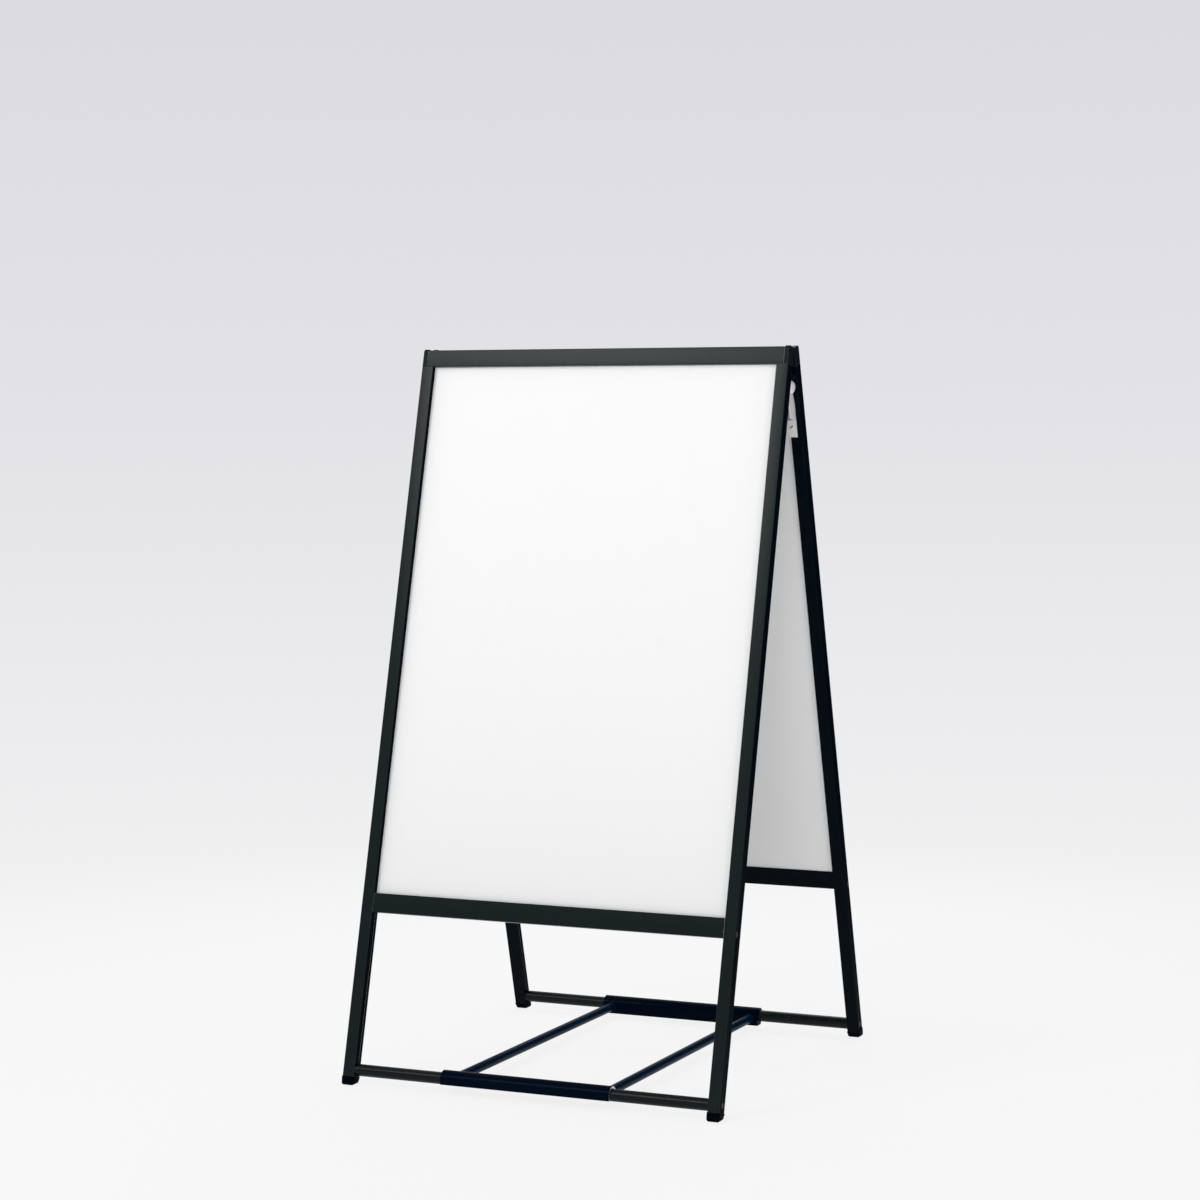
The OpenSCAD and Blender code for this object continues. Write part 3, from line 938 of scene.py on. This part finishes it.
@dataclass(frozen=True)
class Bench:
    """What every sub-assembly is built with.

    Attributes:
        frame: the loaded frame.
        made: every material of the sign by its name.
    """

    frame: dict
    made: dict[str, Material]

    def dress(self, node: str, material: str) -> None:
        """Gives a solid of the frame its material.

        Args:
            node: name of the solid.
            material: name of its material.
        """
        mesh = self.frame["nodes"][node].data
        mesh.materials.clear()
        mesh.materials.append(self.made[material])
        log.info("%s wears %s", node, material)

    def piece(self, name: str, shells: Sequence[Shell], materials: Sequence[str],
              sharp: float = SHARP) -> Object:
        """Puts shells into one mesh object at the origin.

        Args:
            name: name of the piece.
            shells: closed shells.
            materials: names of its materials by slot number.
            sharp: angle in degrees from which an edge is drawn sharp.

        Returns:
            The new object.
        """
        starts = np.cumsum([0] + [len(s.points) for s in shells])
        points = np.concatenate([s.points for s in shells])
        faces = [[int(c + start) for c in f] for s, start in zip(shells, starts) for f in s.faces]
        slots = [n for s in shells for n in (s.slots or [0] * len(s.faces))]
        mesh = new_mesh(name, points.tolist(), faces, [self.made[material] for material in materials])
        mesh.polygons.foreach_set("material_index", slots)
        mesh.polygons.foreach_set("use_smooth", [True] * len(faces))
        mesh.set_sharp_from_angle(angle=math.radians(sharp))
        mesh.update()
        return new_object(name, mesh)

    def softened(self, node: str, edge: float, materials: Sequence[str], body: str, slot: str,
                 edge_slot: int = 0) -> Object:
        """Copy of a solid with its corners merged and every sharp edge broken.

        Args:
            node: name of the solid.
            edge: size of the broken edge.
            materials: names of its materials by slot number.
            body: name of the body.
            slot: name of the record's material slot; not used.
            edge_slot: material number of the broken edges; on the rails and stiles it is worn edge metal
                that also paints a highlight along them.

        Returns:
            The piece that stands for the solid.
        """
        name = f"{node}_piece"
        mesh = new_mesh(name, [], [], [])
        work = bmesh.new()
        work.from_mesh(self.frame["nodes"][node].data)
        bmesh.ops.remove_doubles(work, verts=work.verts, dist=MERGE_REACH)
        bmesh.ops.dissolve_limit(work, angle_limit=math.radians(FLAT), verts=work.verts, edges=work.edges)
        for face in work.faces:
            face.smooth = True
            face.material_index = 0
        work.to_mesh(mesh)
        work.free()
        for material in materials:
            mesh.materials.append(self.made[material])
        mesh.set_sharp_from_angle(angle=math.radians(SHARP))
        piece = new_object(name, mesh)
        bevel = piece.modifiers.new("broken_edges", "BEVEL")
        bevel.width = edge
        bevel.segments = 2
        bevel.limit_method = "ANGLE"
        bevel.angle_limit = math.radians(CORNER)
        bevel.use_clamp_overlap = False
        bevel.harden_normals = True
        bevel.material = edge_slot
        settle(piece, body, node)
        return piece


@dataclass
class FoldingLeaf:
    """One framed panel with its fasteners.

    Attributes:
        bench: the frame and the materials.
        leaf: which leaf it is.
        foot_lip: overhang of a foot cap beyond its stile.
        foot_r: rounding of a foot cap's lower edge.
        foot_corner: smallest rounding of its sole's corners.
        foot_steps: rings from its collar to the lower rounding, and over that rounding.
        foot_break: broken upper edge of its collar.
        collar_r: rounding of the collar's corners, on its broken edge and below it.
        spigot_len: length of its spigot.
        spigot_r: rounding of the spigot's corners.
        spigot_lead: taper of the spigot's tip, inwards and along it.
        break_rail: broken edge of the rails and stiles.
        break_corner: broken edge of the corner blocks.
        break_plate: broken edge of the hinge leaves.
        break_screw: broken edge of the hinge screws.
        break_tube: broken edge of the bottom tube's ends.
        slot_span: depths below the head's top between which a slot's faces lie.
        square: how far a normal may lean and still count as square.
        sideways: share of X in the normal from which a face is a stile's side.
        tube_facets: facets round the bottom tube.
    """

    bench: Bench
    leaf: Leaf
    foot_lip: float = 0.8 * MM
    foot_r: float = 4 * MM
    foot_corner: float = 0.05 * MM
    foot_steps: tuple[int, int] = (8, 9)
    foot_break: float = 0.35 * MM
    collar_r: tuple[float, float] = (0.9 * MM, 1.1 * MM)
    spigot_len: float = 30 * MM
    spigot_r: float = 0.8 * MM
    spigot_lead: float = 1 * MM
    break_rail: float = 0.3 * MM
    break_corner: float = 0.6 * MM
    break_plate: float = 0.35 * MM
    break_screw: float = 0.12 * MM
    break_tube: float = 0.15 * MM
    slot_span: tuple[float, float] = (0.05 * MM, 1.6 * MM)
    square: float = 0.001
    sideways: float = 0.9
    tube_facets: int = 96

    def node(self, word: str) -> str:
        """Name of this leaf's solid."""
        return f"{self.leaf.value}_{word}"

    def soft(self, word: str, edge: float, materials: Sequence[str], slot: str,
             edge_slot: int = 0) -> Object:
        """The piece for one of this leaf's solids, as softened() makes it."""
        return self.bench.softened(self.node(word), edge, materials, self.leaf.body, slot, edge_slot)

    def build(self) -> None:
        """Builds and dresses every piece of the leaf."""
        # Slot 1 of the stiles and the rails is worn edge metal with a painted highlight; slot 2 of the
        # stiles is the painted shade of their sides.
        slope = [f"profile_black_{self.leaf.value}", "dim_worn_highlight_edge", "shaded_side_black"]
        rail = [f"rail_black_{self.leaf.value}", "worn_highlight_edge"]
        for hand in Hand:
            stile = self.soft(f"stile_{hand.value}", self.break_rail, slope, "profile_black", 1)
            self.paint_shade_on_sides(stile)
            self.soft(f"corner_{hand.value}", self.break_corner, ["corner_black"], "corner_black")
            self.soft(f"hinge_leaf_{hand.value}", self.break_plate, ["hinge_steel"], "hinge_steel")
            self.foot_cap(hand)
        for word in ("top_rail", "mid_rail"):
            self.soft(word, self.break_rail, rail, "profile_black", 1)
        self.bottom_tube()
        for word, material in (("panel", "panel_white"), ("tube_plugs", "plug_black"),
                               ("side_screws", "screw_black"), ("corner_screws", "screw_black")):
            self.bench.dress(self.node(word), material)
        self.hinge_screws()

    def paint_shade_on_sides(self, stile: Object) -> None:
        """Gives a stile's two sides, where the normal lies along X, the material in its third slot: a
        bluer, darker black with almost no reflection, painted shade on faces turned from the light.

        Args:
            stile: the stile's piece.
        """
        faces = stile.data.polygons
        along = np.abs([face.normal.x for face in faces])
        faces.foreach_set("material_index", np.where(along > self.sideways, 2, 0).astype(np.int32))

    def hinge_screws(self) -> None:
        """The plated hinge screws with painted shade in their slots: a dark material on the slots' faces.

        A slot's faces lie under the head's rim and above its foot, and face straight out of the stile or
        along it, which the head's sloping rim doesn't.
        """
        piece = self.soft("hinge_screws", self.break_screw, ["pin_steel", "slot_dirt"], "pin_steel")
        out = np.array([0.0, SIZES.lean_cos * self.leaf.turn, -SIZES.lean_sin])
        faces = piece.data.polygons
        facing = np.array([face.normal for face in faces]) @ out
        place = np.array([face.center for face in faces]) @ out
        depth = place.max() - place
        inside = (depth > self.slot_span[0]) & (depth < self.slot_span[1])
        square = (facing > 1 - self.square) | (np.abs(facing) < self.square)
        faces.foreach_set("material_index", (inside & square).astype(np.int32))

    def bottom_tube(self) -> None:
        """The round tube: two circles about its axis, carried from stile to stile."""
        ring = circle(full_turn(self.tube_facets))
        axis = np.array([-SIZES.tube_y * self.leaf.turn, SIZES.tube_rise])
        inner = SIZES.tube_r - SIZES.tube_wall
        shell = walled(axis + SIZES.tube_r * ring, axis + inner * ring, (-SIZES.inner_x, SIZES.inner_x),
                       self.break_tube, True)
        piece = self.bench.piece(self.node("bottom_tube_piece"), [shell], ["tube_black", "cut_metal"])
        settle(piece, self.leaf.body, self.node("bottom_tube"))

    def foot_cap(self, hand: Hand) -> None:
        """The foot cap: rounded rectangles lofted from its spigot over its collar down to the level sole.

        The collar's ring lies in the stile's cut end, the lower ring is level, and the rings between are
        their weighted means. Below it each ring is drawn in by r (1 - cos a) at the height r (1 - sin a).

        Args:
            hand: side of the sign.
        """
        s, radius = SIZES, self.foot_r
        end = s.leg_len - s.foot_h
        tip = end - self.spigot_len
        mid_x = s.inner_x + s.stile_w / 2
        width, depth = s.stile_w + 2 * self.foot_lip, s.stile_d + 2 * self.foot_lip

        def tilted(w: float, d: float, r: float, x: float, slope: float) -> Array:
            """A ring in a plane square to the slope."""
            outline = rounded_rectangle(w, d, r)
            return s.on_leaf(outline[:, 0] + x, outline[:, 1] + s.stile_d / 2, np.full(len(outline), slope))

        cavity = s.groove_depth + s.wall
        spigot_w = s.stile_w - cavity - s.wall - 2 * s.spigot_play
        spigot_d = s.stile_d - 2 * s.wall - 2 * s.spigot_play
        spigot_x = s.inner_x + cavity + s.spigot_play + spigot_w / 2
        lead, cut = 2 * self.spigot_lead, 2 * self.foot_break
        rings = [
            tilted(spigot_w - lead, spigot_d - lead, self.spigot_r, spigot_x, tip),
            tilted(spigot_w, spigot_d, self.spigot_r, spigot_x, tip + self.spigot_lead),
            tilted(spigot_w, spigot_d, self.spigot_r, spigot_x, end),
            tilted(width - cut, depth - cut, self.collar_r[0], mid_x, end),
            tilted(width, depth, self.collar_r[1], mid_x, end + self.foot_break),
        ]
        near, far = s.floor_y(-self.foot_lip), s.floor_y(s.stile_d + self.foot_lip)

        def level(inset: float, corner: float, z: float) -> Array:
            """A level ring above the sole."""
            outline = rounded_rectangle(width - 2 * inset, far - near - 2 * inset, corner)
            return np.insert(outline + np.array([mid_x, (near + far) / 2]), 2, z, axis=1)

        collar, low = rings[-1], level(0.0, radius, radius)
        between, over = self.foot_steps
        rings += [collar * (1 - share) + low * share for share in np.linspace(0.0, 1.0, between)[1:-1]]
        for turn in np.radians(np.linspace(0.0, 90.0, over)):
            corner = max(radius * math.cos(turn), self.foot_corner)
            rings.append(level(radius - radius * math.cos(turn), corner, radius * (1 - math.sin(turn))))
        points = np.array(rings)
        points[..., 0] *= hand.sign * self.leaf.turn
        points[..., :2] *= self.leaf.turn
        name = self.node(f"foot_cap_{hand.value}")
        piece = self.bench.piece(name, [lofted(points)], ["foot_black"], ROUND_SHARP)
        settle(piece, self.leaf.body, self.node(f"foot_{hand.value}"))


@dataclass
class HingePins:
    """The two riveted pins that the leaves fold on.

    Attributes:
        bench: the frame and the materials.
        leaf_in: distance of the rear lug's outer side from the stile's inner side.
        leaf_t: thickness of a hinge leaf.
        gap: gap beside a turning leaf.
        radius: radius of the shank.
        head_r: radius of the domed head.
        head_h: height of the domed head.
        head_break: broken edge under the head.
        tail_r: radius of the riveted tail.
        tail_h: height of the riveted tail.
        tip_r: radius of the flat on both tips.
        dome_steps: stations along each dome.
    """

    bench: Bench
    leaf_in: float = 12 * MM
    leaf_t: float = 2 * MM
    gap: float = 0.3 * MM
    radius: float = 4 * MM
    head_r: float = 10.5 * MM
    head_h: float = 8 * MM
    head_break: float = 0.3 * MM
    tail_r: float = 6 * MM
    tail_h: float = 2.5 * MM
    tip_r: float = 0.02 * MM
    dome_steps: int = 14

    def build(self) -> None:
        """Builds both pins: a line of stations and radii turned about the hinge axis.

        The head is a quarter ellipse over a short skirt, the tail a flatter one.
        """
        rear_lug = SIZES.inner_x + self.leaf_in - self.leaf_t
        front_lug = rear_lug - self.gap - self.leaf_t
        head = rear_lug + self.leaf_t + self.gap
        turn = np.linspace(0.0, math.pi / 2, self.dome_steps)
        tail_x = front_lug - self.tail_h * np.cos(turn)
        tail_r = self.tip_r + self.tail_r * np.sin(turn)
        skirt = self.head_h / 4
        dome_x = head + skirt + (self.head_h - skirt) * np.sin(turn)
        dome_r = self.head_r * np.cos(turn) + self.tip_r
        stations = np.concatenate([tail_x, [front_lug, head, head, head + self.head_break], dome_x])
        neck_r = [self.radius, self.radius, self.head_r - self.head_break, self.head_r]
        radii = np.concatenate([tail_r, neck_r, dome_r])
        for hand in Hand:
            rings = revolved(stations, radii)
            rings[..., 0] *= hand.sign
            rings[..., 2] += SIZES.hinge_z
            name = f"hinge_rivet_{hand.value}"
            piece = self.bench.piece(name, [lofted(rings)], ["pin_steel"], ROUND_SHARP)
            settle(piece, Leaf.FRONT.body, f"hinge_pin_{hand.value}")


@dataclass
class FloorStay:
    """The stay: a hook over the front tube, a sleeve round the rear one and two rods between them.

    Attributes:
        bench: the frame and the materials.
        length: length of the hook and the sleeve.
        shift: sideways place of the stay.
        wall: wall of the hook and the sleeve.
        hook_play: play of the hook over the tube.
        sleeve_play: play of the sleeve round the tube.
        hook_drop: reach of the hook's front wall below the tube's axis.
        flank: slope of the hook's rear wall from the vertical, in degrees.
        flank_drop: reach of the rear wall below the tube's axis.
        sleeve_drop: reach of the sleeve's foot below the tube's axis.
        sleeve_corner: rounding of the sleeve's lower corners.
        foot_share: share of the sleeve's radius that its foot reaches back.
        rod_r: radius of a rod.
        rod_in: distance of a rod from the end of the sleeve.
        drop_front: drop of a rod's axis below the tube's axis at the front.
        drop_rear: drop of a rod's axis below the tube's axis at the rear.
        break_edge: broken edge of the cut ends.
        weld_r: radius of the weld beads.
        weld_swell: share by which a bead's ripples swell it.
        weld_ripples: number of ripples round a bead.
        hook_steps: points up the hook's front, over its top and down its rear.
        sleeve_facets: points round the sleeve.
        rod_facets: points round a rod.
        rod_steps: rings along a rod.
        weld_facets: points round a weld bead's section.
    """

    bench: Bench
    length: float = 287 * MM
    shift: float = -3.5 * MM
    wall: float = 3.6 * MM
    hook_play: float = 0.5 * MM
    sleeve_play: float = 0.35 * MM
    hook_drop: float = 7 * MM
    flank: float = 42.0
    flank_drop: float = 10.5 * MM
    sleeve_drop: float = 15.5 * MM
    sleeve_corner: float = 2 * MM
    foot_share: float = 0.35
    rod_r: float = 7.5 * MM
    rod_in: float = 15 * MM
    drop_front: float = 1 * MM
    drop_rear: float = 4 * MM
    break_edge: float = 0.3 * MM
    weld_r: float = 1.1 * MM
    weld_swell: float = 0.12
    weld_ripples: float = 17.0
    hook_steps: tuple[int, int, int] = (5, 48, 6)
    sleeve_facets: int = 240
    rod_facets: int = 48
    rod_steps: int = 24
    weld_facets: int = 12

    @property
    def hook_outer(self) -> float:
        """Outer radius of the hook."""
        return SIZES.tube_r + self.hook_play + self.wall

    @property
    def sleeve_outer(self) -> float:
        """Outer radius of the sleeve."""
        return SIZES.tube_r + self.sleeve_play + self.wall

    @property
    def ends(self) -> tuple[float, float]:
        """The two cuts of the hook and the sleeve along X."""
        return self.shift - self.length / 2, self.shift + self.length / 2

    def build(self) -> None:
        """Builds the hook, the sleeve and the rods."""
        self.hook()
        self.sleeve()
        for hand in Hand:
            self.rod(hand)

    def hook_line(self, radius: float) -> Array:
        """Line of the hook's wall at a radius: up the front, over the top and down the sloping rear.

        The front is straight, the top is an arc from 180 degrees to the flank's angle, and the rear follows
        the arc's tangent there down to the flank's drop.

        Args:
            radius: distance from the tube's axis.

        Returns:
            Points in depth and height about the front tube's axis.
        """
        flank = math.radians(self.flank)
        up, over, down = self.hook_steps
        rise = np.linspace(-self.hook_drop, 0.0, up)[:-1]
        front = np.stack([np.full(len(rise), -radius), rise], axis=-1)
        top = radius * circle(np.linspace(math.pi, flank, over))
        run = (radius * math.sin(flank) + self.flank_drop) / math.cos(flank)
        steps = np.linspace(0.0, run, down)[1:, None]
        rear = top[-1] + steps * np.array([math.sin(flank), -math.cos(flank)])
        return np.concatenate([front, top, rear]) + np.array([-SIZES.tube_y, SIZES.tube_rise])

    def hook(self) -> None:
        """The hook: its wall between two lines about the front tube."""
        outer, inner = self.hook_line(self.hook_outer), self.hook_line(self.hook_outer - self.wall)
        shell = walled(outer, inner, self.ends, self.break_edge, False)
        piece = self.bench.piece("stay_hook_profile", [shell], ["stay_black", "cut_metal"])
        settle(piece, "stay", "stay_hook")

    def sleeve(self) -> None:
        """The sleeve: a bore, and an outline that is the larger of a circle and a foot with round corners.

        The foot is a rectangle from the front of the circle to a share of it behind. Along each direction
        from the axis the outline lies at the distance where the ray leaves the shape.
        """
        outer_r, r, drop = self.sleeve_outer, self.sleeve_corner, self.sleeve_drop
        ray = circle(full_turn(self.sleeve_facets) + math.pi / 2)
        back = outer_r * self.foot_share
        with np.errstate(divide="ignore"):
            side = np.where(ray[:, 0] < 0, -outer_r / ray[:, 0], back / ray[:, 0])
            below = np.where(ray[:, 1] < 0, -drop / ray[:, 1], np.inf)
        reach = np.where(ray[:, 1] < 0, np.minimum(side, below), 0.0)
        for middle, way in ((-outer_r + r, -1.0), (back - r, 1.0)):
            centre = np.array([middle, -drop + r])
            along = ray @ centre
            root = along ** 2 - centre @ centre + r ** 2
            exit_at = along + np.sqrt(np.maximum(root, 0.0))
            point = ray * exit_at[:, None]
            outside = (point[:, 1] < centre[1]) & ((point[:, 0] - centre[0]) * way > 0)
            reach = np.where((root > 0) & outside & (reach > 0), np.minimum(reach, exit_at), reach)
        axis = np.array([SIZES.tube_y, SIZES.tube_rise])
        outline = ray * np.maximum(reach, outer_r)[:, None]
        bore = ray * (outer_r - self.wall)
        shell = walled(axis + outline, axis + bore, self.ends, self.break_edge, True)
        piece = self.bench.piece("stay_sleeve_profile", [shell], ["stay_black", "stay_black"])
        settle(piece, "stay", "stay_sleeve")

    def rod(self, hand: Hand) -> None:
        """A rod, cut to the hook's rear wall and to the sleeve's front, with a weld bead at each end.

        Each of the rod's lines runs from where it leaves the plane of the hook's wall to where it meets the
        plane of the sleeve's front. A bead is a small circle carried round that end.

        Args:
            hand: side of the stay.
        """
        flank = math.radians(self.flank)
        x = self.shift + hand.sign * (self.length / 2 - self.rod_in)
        start = np.array([x, -SIZES.tube_y, SIZES.tube_rise - self.drop_front])
        tilt = math.atan2(self.drop_rear - self.drop_front, 2 * SIZES.tube_y)
        along = np.array([0.0, math.cos(tilt), -math.sin(tilt)])
        side, up = np.array([1.0, 0.0, 0.0]), np.array([0.0, math.sin(tilt), math.cos(tilt)])
        angle = full_turn(self.rod_facets)
        ring = circle(angle)
        radial = ring[:, :1] * side + ring[:, 1:] * up
        skin = start + self.rod_r * radial
        flank_way = np.array([0.0, math.cos(flank), math.sin(flank)])
        tube_axis = np.array([0.0, -SIZES.tube_y, SIZES.tube_rise])
        near = (self.hook_outer - (skin - tube_axis) @ flank_way) / (along @ flank_way)
        far = (SIZES.tube_y - self.sleeve_outer - skin[:, 1]) / along[1]
        shares = np.linspace(0.0, 1.0, self.rod_steps)[:, None, None]
        lines = (1 - shares) * near[None, :, None] + shares * far[None, :, None]
        shells = [lofted(skin[None] + lines * along)]
        ripple = self.weld_r * (1.0 + self.weld_swell * np.sin(angle * self.weld_ripples))
        loop = circle(full_turn(self.weld_facets))
        for reach, way in ((near, flank_way), (far, np.array([0.0, -1.0, 0.0]))):
            spine = skin + reach[:, None] * along
            bead = loop[None, :, :1] * radial[:, None, :] + loop[None, :, 1:] * way
            rings = spine[:, None, :] + ripple[:, None, None] * bead
            shells.append(Shell(rings.reshape(-1, 3), ring_faces(len(ring), len(loop), True)).outward())
        piece = self.bench.piece(f"stay_rod_welded_{hand.value}", shells, ["rod_black"], ROUND_SHARP)
        settle(piece, "stay", f"stay_rod_{hand.value}")


# Stage, light and camera


@dataclass(frozen=True)
class Lamp:
    """A soft rectangular lamp.

    Attributes:
        name: its name.
        place: where it stands.
        aim: the point that it faces.
        size: its width and height.
        power: its power in watts.
    """

    name: str
    place: Place
    aim: Place
    size: tuple[float, float]
    power: float

    def build(self) -> None:
        """Makes the lamp."""
        data = bpy.data.lights.new(self.name, "AREA")
        data.shape = "RECTANGLE"
        data.size, data.size_y = self.size
        data.energy = self.power
        lamp = new_object(self.name, data)
        lamp.location = self.place
        lamp.rotation_euler = (Vector(self.aim) - Vector(self.place)).to_track_quat("-Z", "Y").to_euler()


@dataclass(frozen=True)
class Studio:
    """Pale floor, pale surroundings and soft lamps.

    Attributes:
        lamps: the lamps.
        screen: lower corners of the dark screen that paints reflections, left and right.
        screen_z: heights of its lower and upper edges.
        screen_colour: its glow colour, the colour of the painted reflection.
        floor_r: radius of the floor's disc.
        floor_facets: points round it.
        floor_clear: radius up to which the floor is solid.
        floor_fade: radius at which it has faded into the surroundings.
        floor_colour: colour of the floor's lit surface.
        floor_tone: colour of the floor's own tone.
        floor_seen: share of that tone in what is seen, the rest being the lit surface.
        wash: places from 0 to 1 and colours of the wash that the surroundings show.
        wash_z: heights of the view's direction at the wash's 0 and 1.
        light: colour of the surroundings' light.
        ambient: its strength from above.
        bounce: its strength from below, off the pale ground.
        horizon: height of the direction within which the one goes over into the other.
    """

    lamps: tuple[Lamp, ...] = (
        Lamp("key_lamp", (-1.75, -3.3, 3.2), (0.0, 0.0, 0.8), (1.3, 1.0), 44.0),
        Lamp("fill_lamp", (2.9, -2.4, 1.2), (0.0, 0.2, 0.5), (1.8, 1.6), 7.0),
        Lamp("low_lamp", (1.1, -4.1, 0.8), (0.1, 0.3, 0.35), (1.0, 0.8), 24.0),
        Lamp("back_lamp", (-0.6, 3.4, 3.4), (0.0, 0.2, 0.5), (2.6, 2.6), 45.0),
    )
    screen: tuple[tuple[float, float], tuple[float, float]] = ((-0.1, 2.9), (3.2, 0.7))
    screen_z: tuple[float, float] = (-0.4, 3.6)
    screen_colour: Colour = (0.01, 0.03, 0.11)
    floor_r: float = 4.0
    floor_facets: int = 96
    floor_clear: float = 0.9
    floor_fade: float = 2.6
    floor_colour: Colour = (0.88, 0.88, 0.88)
    floor_tone: Colour = (0.995, 0.995, 0.995)
    floor_seen: float = 0.83
    wash: tuple[tuple[float, Colour], ...] = (
        (0.0, (0.956, 0.956, 0.956)), (0.25, (0.88, 0.88, 0.888)), (0.5, (0.812, 0.812, 0.832)),
        (0.675, (0.765, 0.758, 0.795)), (1.0, (0.716, 0.708, 0.745)))
    wash_z: tuple[float, float] = (-0.27, 0.13)
    light: Colour = (0.97, 0.98, 1.0)
    ambient: float = 0.45
    bounce: float = 1.25
    horizon: float = 0.05

    def build(self) -> None:
        """Builds the floor, the surroundings, the lamps and the dark screen."""
        self.floor()
        self.surroundings()
        for lamp in self.lamps:
            lamp.build()
        self.dark_screen()
        bpy.context.scene.view_settings.view_transform = "Standard"

    @staticmethod
    def seen(tree: bpy.types.NodeTree) -> Socket:
        """1 for rays from the camera, from gloss and through glass, otherwise 0.

        Args:
            tree: the tree that reads it.

        Returns:
            The largest of the three.
        """
        path = add_node(tree, "LightPath")
        total = path.outputs["Is Camera Ray"]
        for word in ("Is Glossy Ray", "Is Transmission Ray"):
            larger = add_node(tree, "Math", operation="MAXIMUM", in0=total, in1=path.outputs[word])
            total = larger.outputs[0]
        return total

    def dark_screen(self) -> None:
        """A dark blue glowing sheet beside the back right, which only gloss sees: a painted reflection that
        darkens the glossy faces turned towards it and tints them blue.
        """
        (left, right), (low, high) = self.screen, self.screen_z
        corners = [(*left, low), (*right, low), (*right, high), (*left, high)]
        cloth = bpy.data.materials.new("screen_cloth")
        tree = open_tree(cloth)
        glow = add_node(tree, "Emission", Color=self.screen_colour, Strength=1.0)
        add_node(tree, "OutputMaterial", in0=glow)
        screen = new_object("dark_screen", new_mesh("dark_screen", corners, [[0, 1, 2, 3]], [cloth]))
        screen.visible_camera = screen.visible_diffuse = screen.visible_shadow = False

    def floor(self) -> None:
        """The floor: a level disc, solid under the sign, that fades into the surroundings further out."""
        ring = self.floor_r * circle(full_turn(self.floor_facets))
        paper = bpy.data.materials.new("floor_paper")
        tree = open_tree(paper)
        lit = add_node(tree, "BsdfDiffuse", Color=self.floor_colour)
        tone = add_node(tree, "Emission", Color=self.floor_tone, Strength=1.0)
        share = add_node(tree, "Math", operation="MULTIPLY", in0=self.seen(tree), in1=self.floor_seen)
        surface = add_node(tree, "MixShader", in0=share, in1=lit, in2=tone)
        place = add_node(tree, "TexCoord").outputs["Object"]
        radius = add_node(tree, "VectorMath", operation="LENGTH", in0=place).outputs["Value"]
        fade = add_node(tree, "MapRange", interpolation_type="SMOOTHSTEP", Value=radius,
                        From_Min=self.floor_clear, From_Max=self.floor_fade)
        clear = add_node(tree, "BsdfTransparent")
        add_node(tree, "OutputMaterial", in0=add_node(tree, "MixShader", in0=fade, in1=surface, in2=clear))
        points = np.insert(ring, 2, 0.0, axis=1).tolist()
        floor = new_object("floor", new_mesh("floor", points, [list(range(len(ring)))], [paper]))

    def surroundings(self) -> None:
        """The surroundings: a pale wash that darkens with height, and an even light that isn't seen."""
        world = bpy.data.worlds.new("surroundings")
        bpy.context.scene.world = world
        tree = open_tree(world)
        way = add_node(tree, "SeparateXYZ", Vector=add_node(tree, "TexCoord").outputs["Generated"])
        height = way.outputs["Z"]
        low, high = self.wash_z
        rise = add_node(tree, "MapRange", Value=height, From_Min=low, From_Max=high)
        ramp = add_node(tree, "ValToRGB", in0=rise)
        stops = ramp.color_ramp.elements
        for stop, (at, colour) in zip(stops, (self.wash[0], self.wash[-1])):
            stop.position = at
            stop.color = (*colour, 1.0)
        for at, colour in self.wash[1:-1]:
            stops.new(at).color = (*colour, 1.0)
        shown = add_node(tree, "Background", Color=ramp, Strength=1.0)
        strength = add_node(tree, "MapRange", Value=height, From_Min=-self.horizon, From_Max=self.horizon,
                            To_Min=self.bounce, To_Max=self.ambient)
        light = add_node(tree, "Background", Color=self.light, Strength=strength)
        mix = add_node(tree, "MixShader", in0=self.seen(tree), in1=light, in2=shown)
        add_node(tree, "OutputWorld", in0=mix)


@dataclass(frozen=True)
class Viewpoint:
    """The camera's place and aim.

    Attributes:
        place: where it stands.
        azimuth: degrees round the sign from its front.
        elevation: degrees above the horizon.
        roll: degrees of roll.
        lens: focal length in millimetres.
        sensor: width of its sensor in millimetres.
        clip: nearest and furthest distance that it sees.
    """

    place: Place = (1.95239, -4.39317, 1.09096)
    azimuth: float = 24.126
    elevation: float = 4.038
    roll: float = -0.344
    lens: float = 89.535
    sensor: float = 36.0
    clip: tuple[float, float] = (0.05, 100.0)

    def build(self) -> None:
        """Makes the camera from its right, up and backward directions."""
        azimuth, elevation, roll = (math.radians(a) for a in (self.azimuth, self.elevation, self.roll))
        back = Vector((math.sin(azimuth) * math.cos(elevation), -math.cos(azimuth) * math.cos(elevation),
                       math.sin(elevation)))
        level = (-back).cross(Vector((0.0, 0.0, 1.0))).normalized()
        upright = level.cross(-back)
        right = math.cos(roll) * level + math.sin(roll) * upright
        up = math.cos(roll) * upright - math.sin(roll) * level
        data = bpy.data.cameras.new("viewpoint")
        data.sensor_width = self.sensor
        data.lens = self.lens
        data.clip_start, data.clip_end = self.clip
        camera = new_object("viewpoint", data)
        turned = Matrix((right, up, back)).transposed().to_4x4()
        camera.matrix_world = Matrix.Translation(self.place) @ turned
        bpy.context.scene.camera = camera


def corners(box: tuple[Vector, Vector]) -> list[list[float]]:
    """A box as plain lists of numbers."""
    return [list(map(float, corner)) for corner in box]


def main() -> None:
    """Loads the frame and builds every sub-assembly in order."""
    logging.basicConfig(level=logging.INFO, format="%(message)s")
    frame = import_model()
    Viewpoint().build()
    effects = Effects.build()
    bench = Bench(frame, {finish.name: finish.build(effects) for finish in FINISHES})
    for leaf in Leaf:
        FoldingLeaf(bench, leaf).build()
    HingePins(bench).build()
    FloorStay(bench).build()
    Studio().build()
    bpy.context.view_layer.update()


if __name__ == "__main__":
    main()
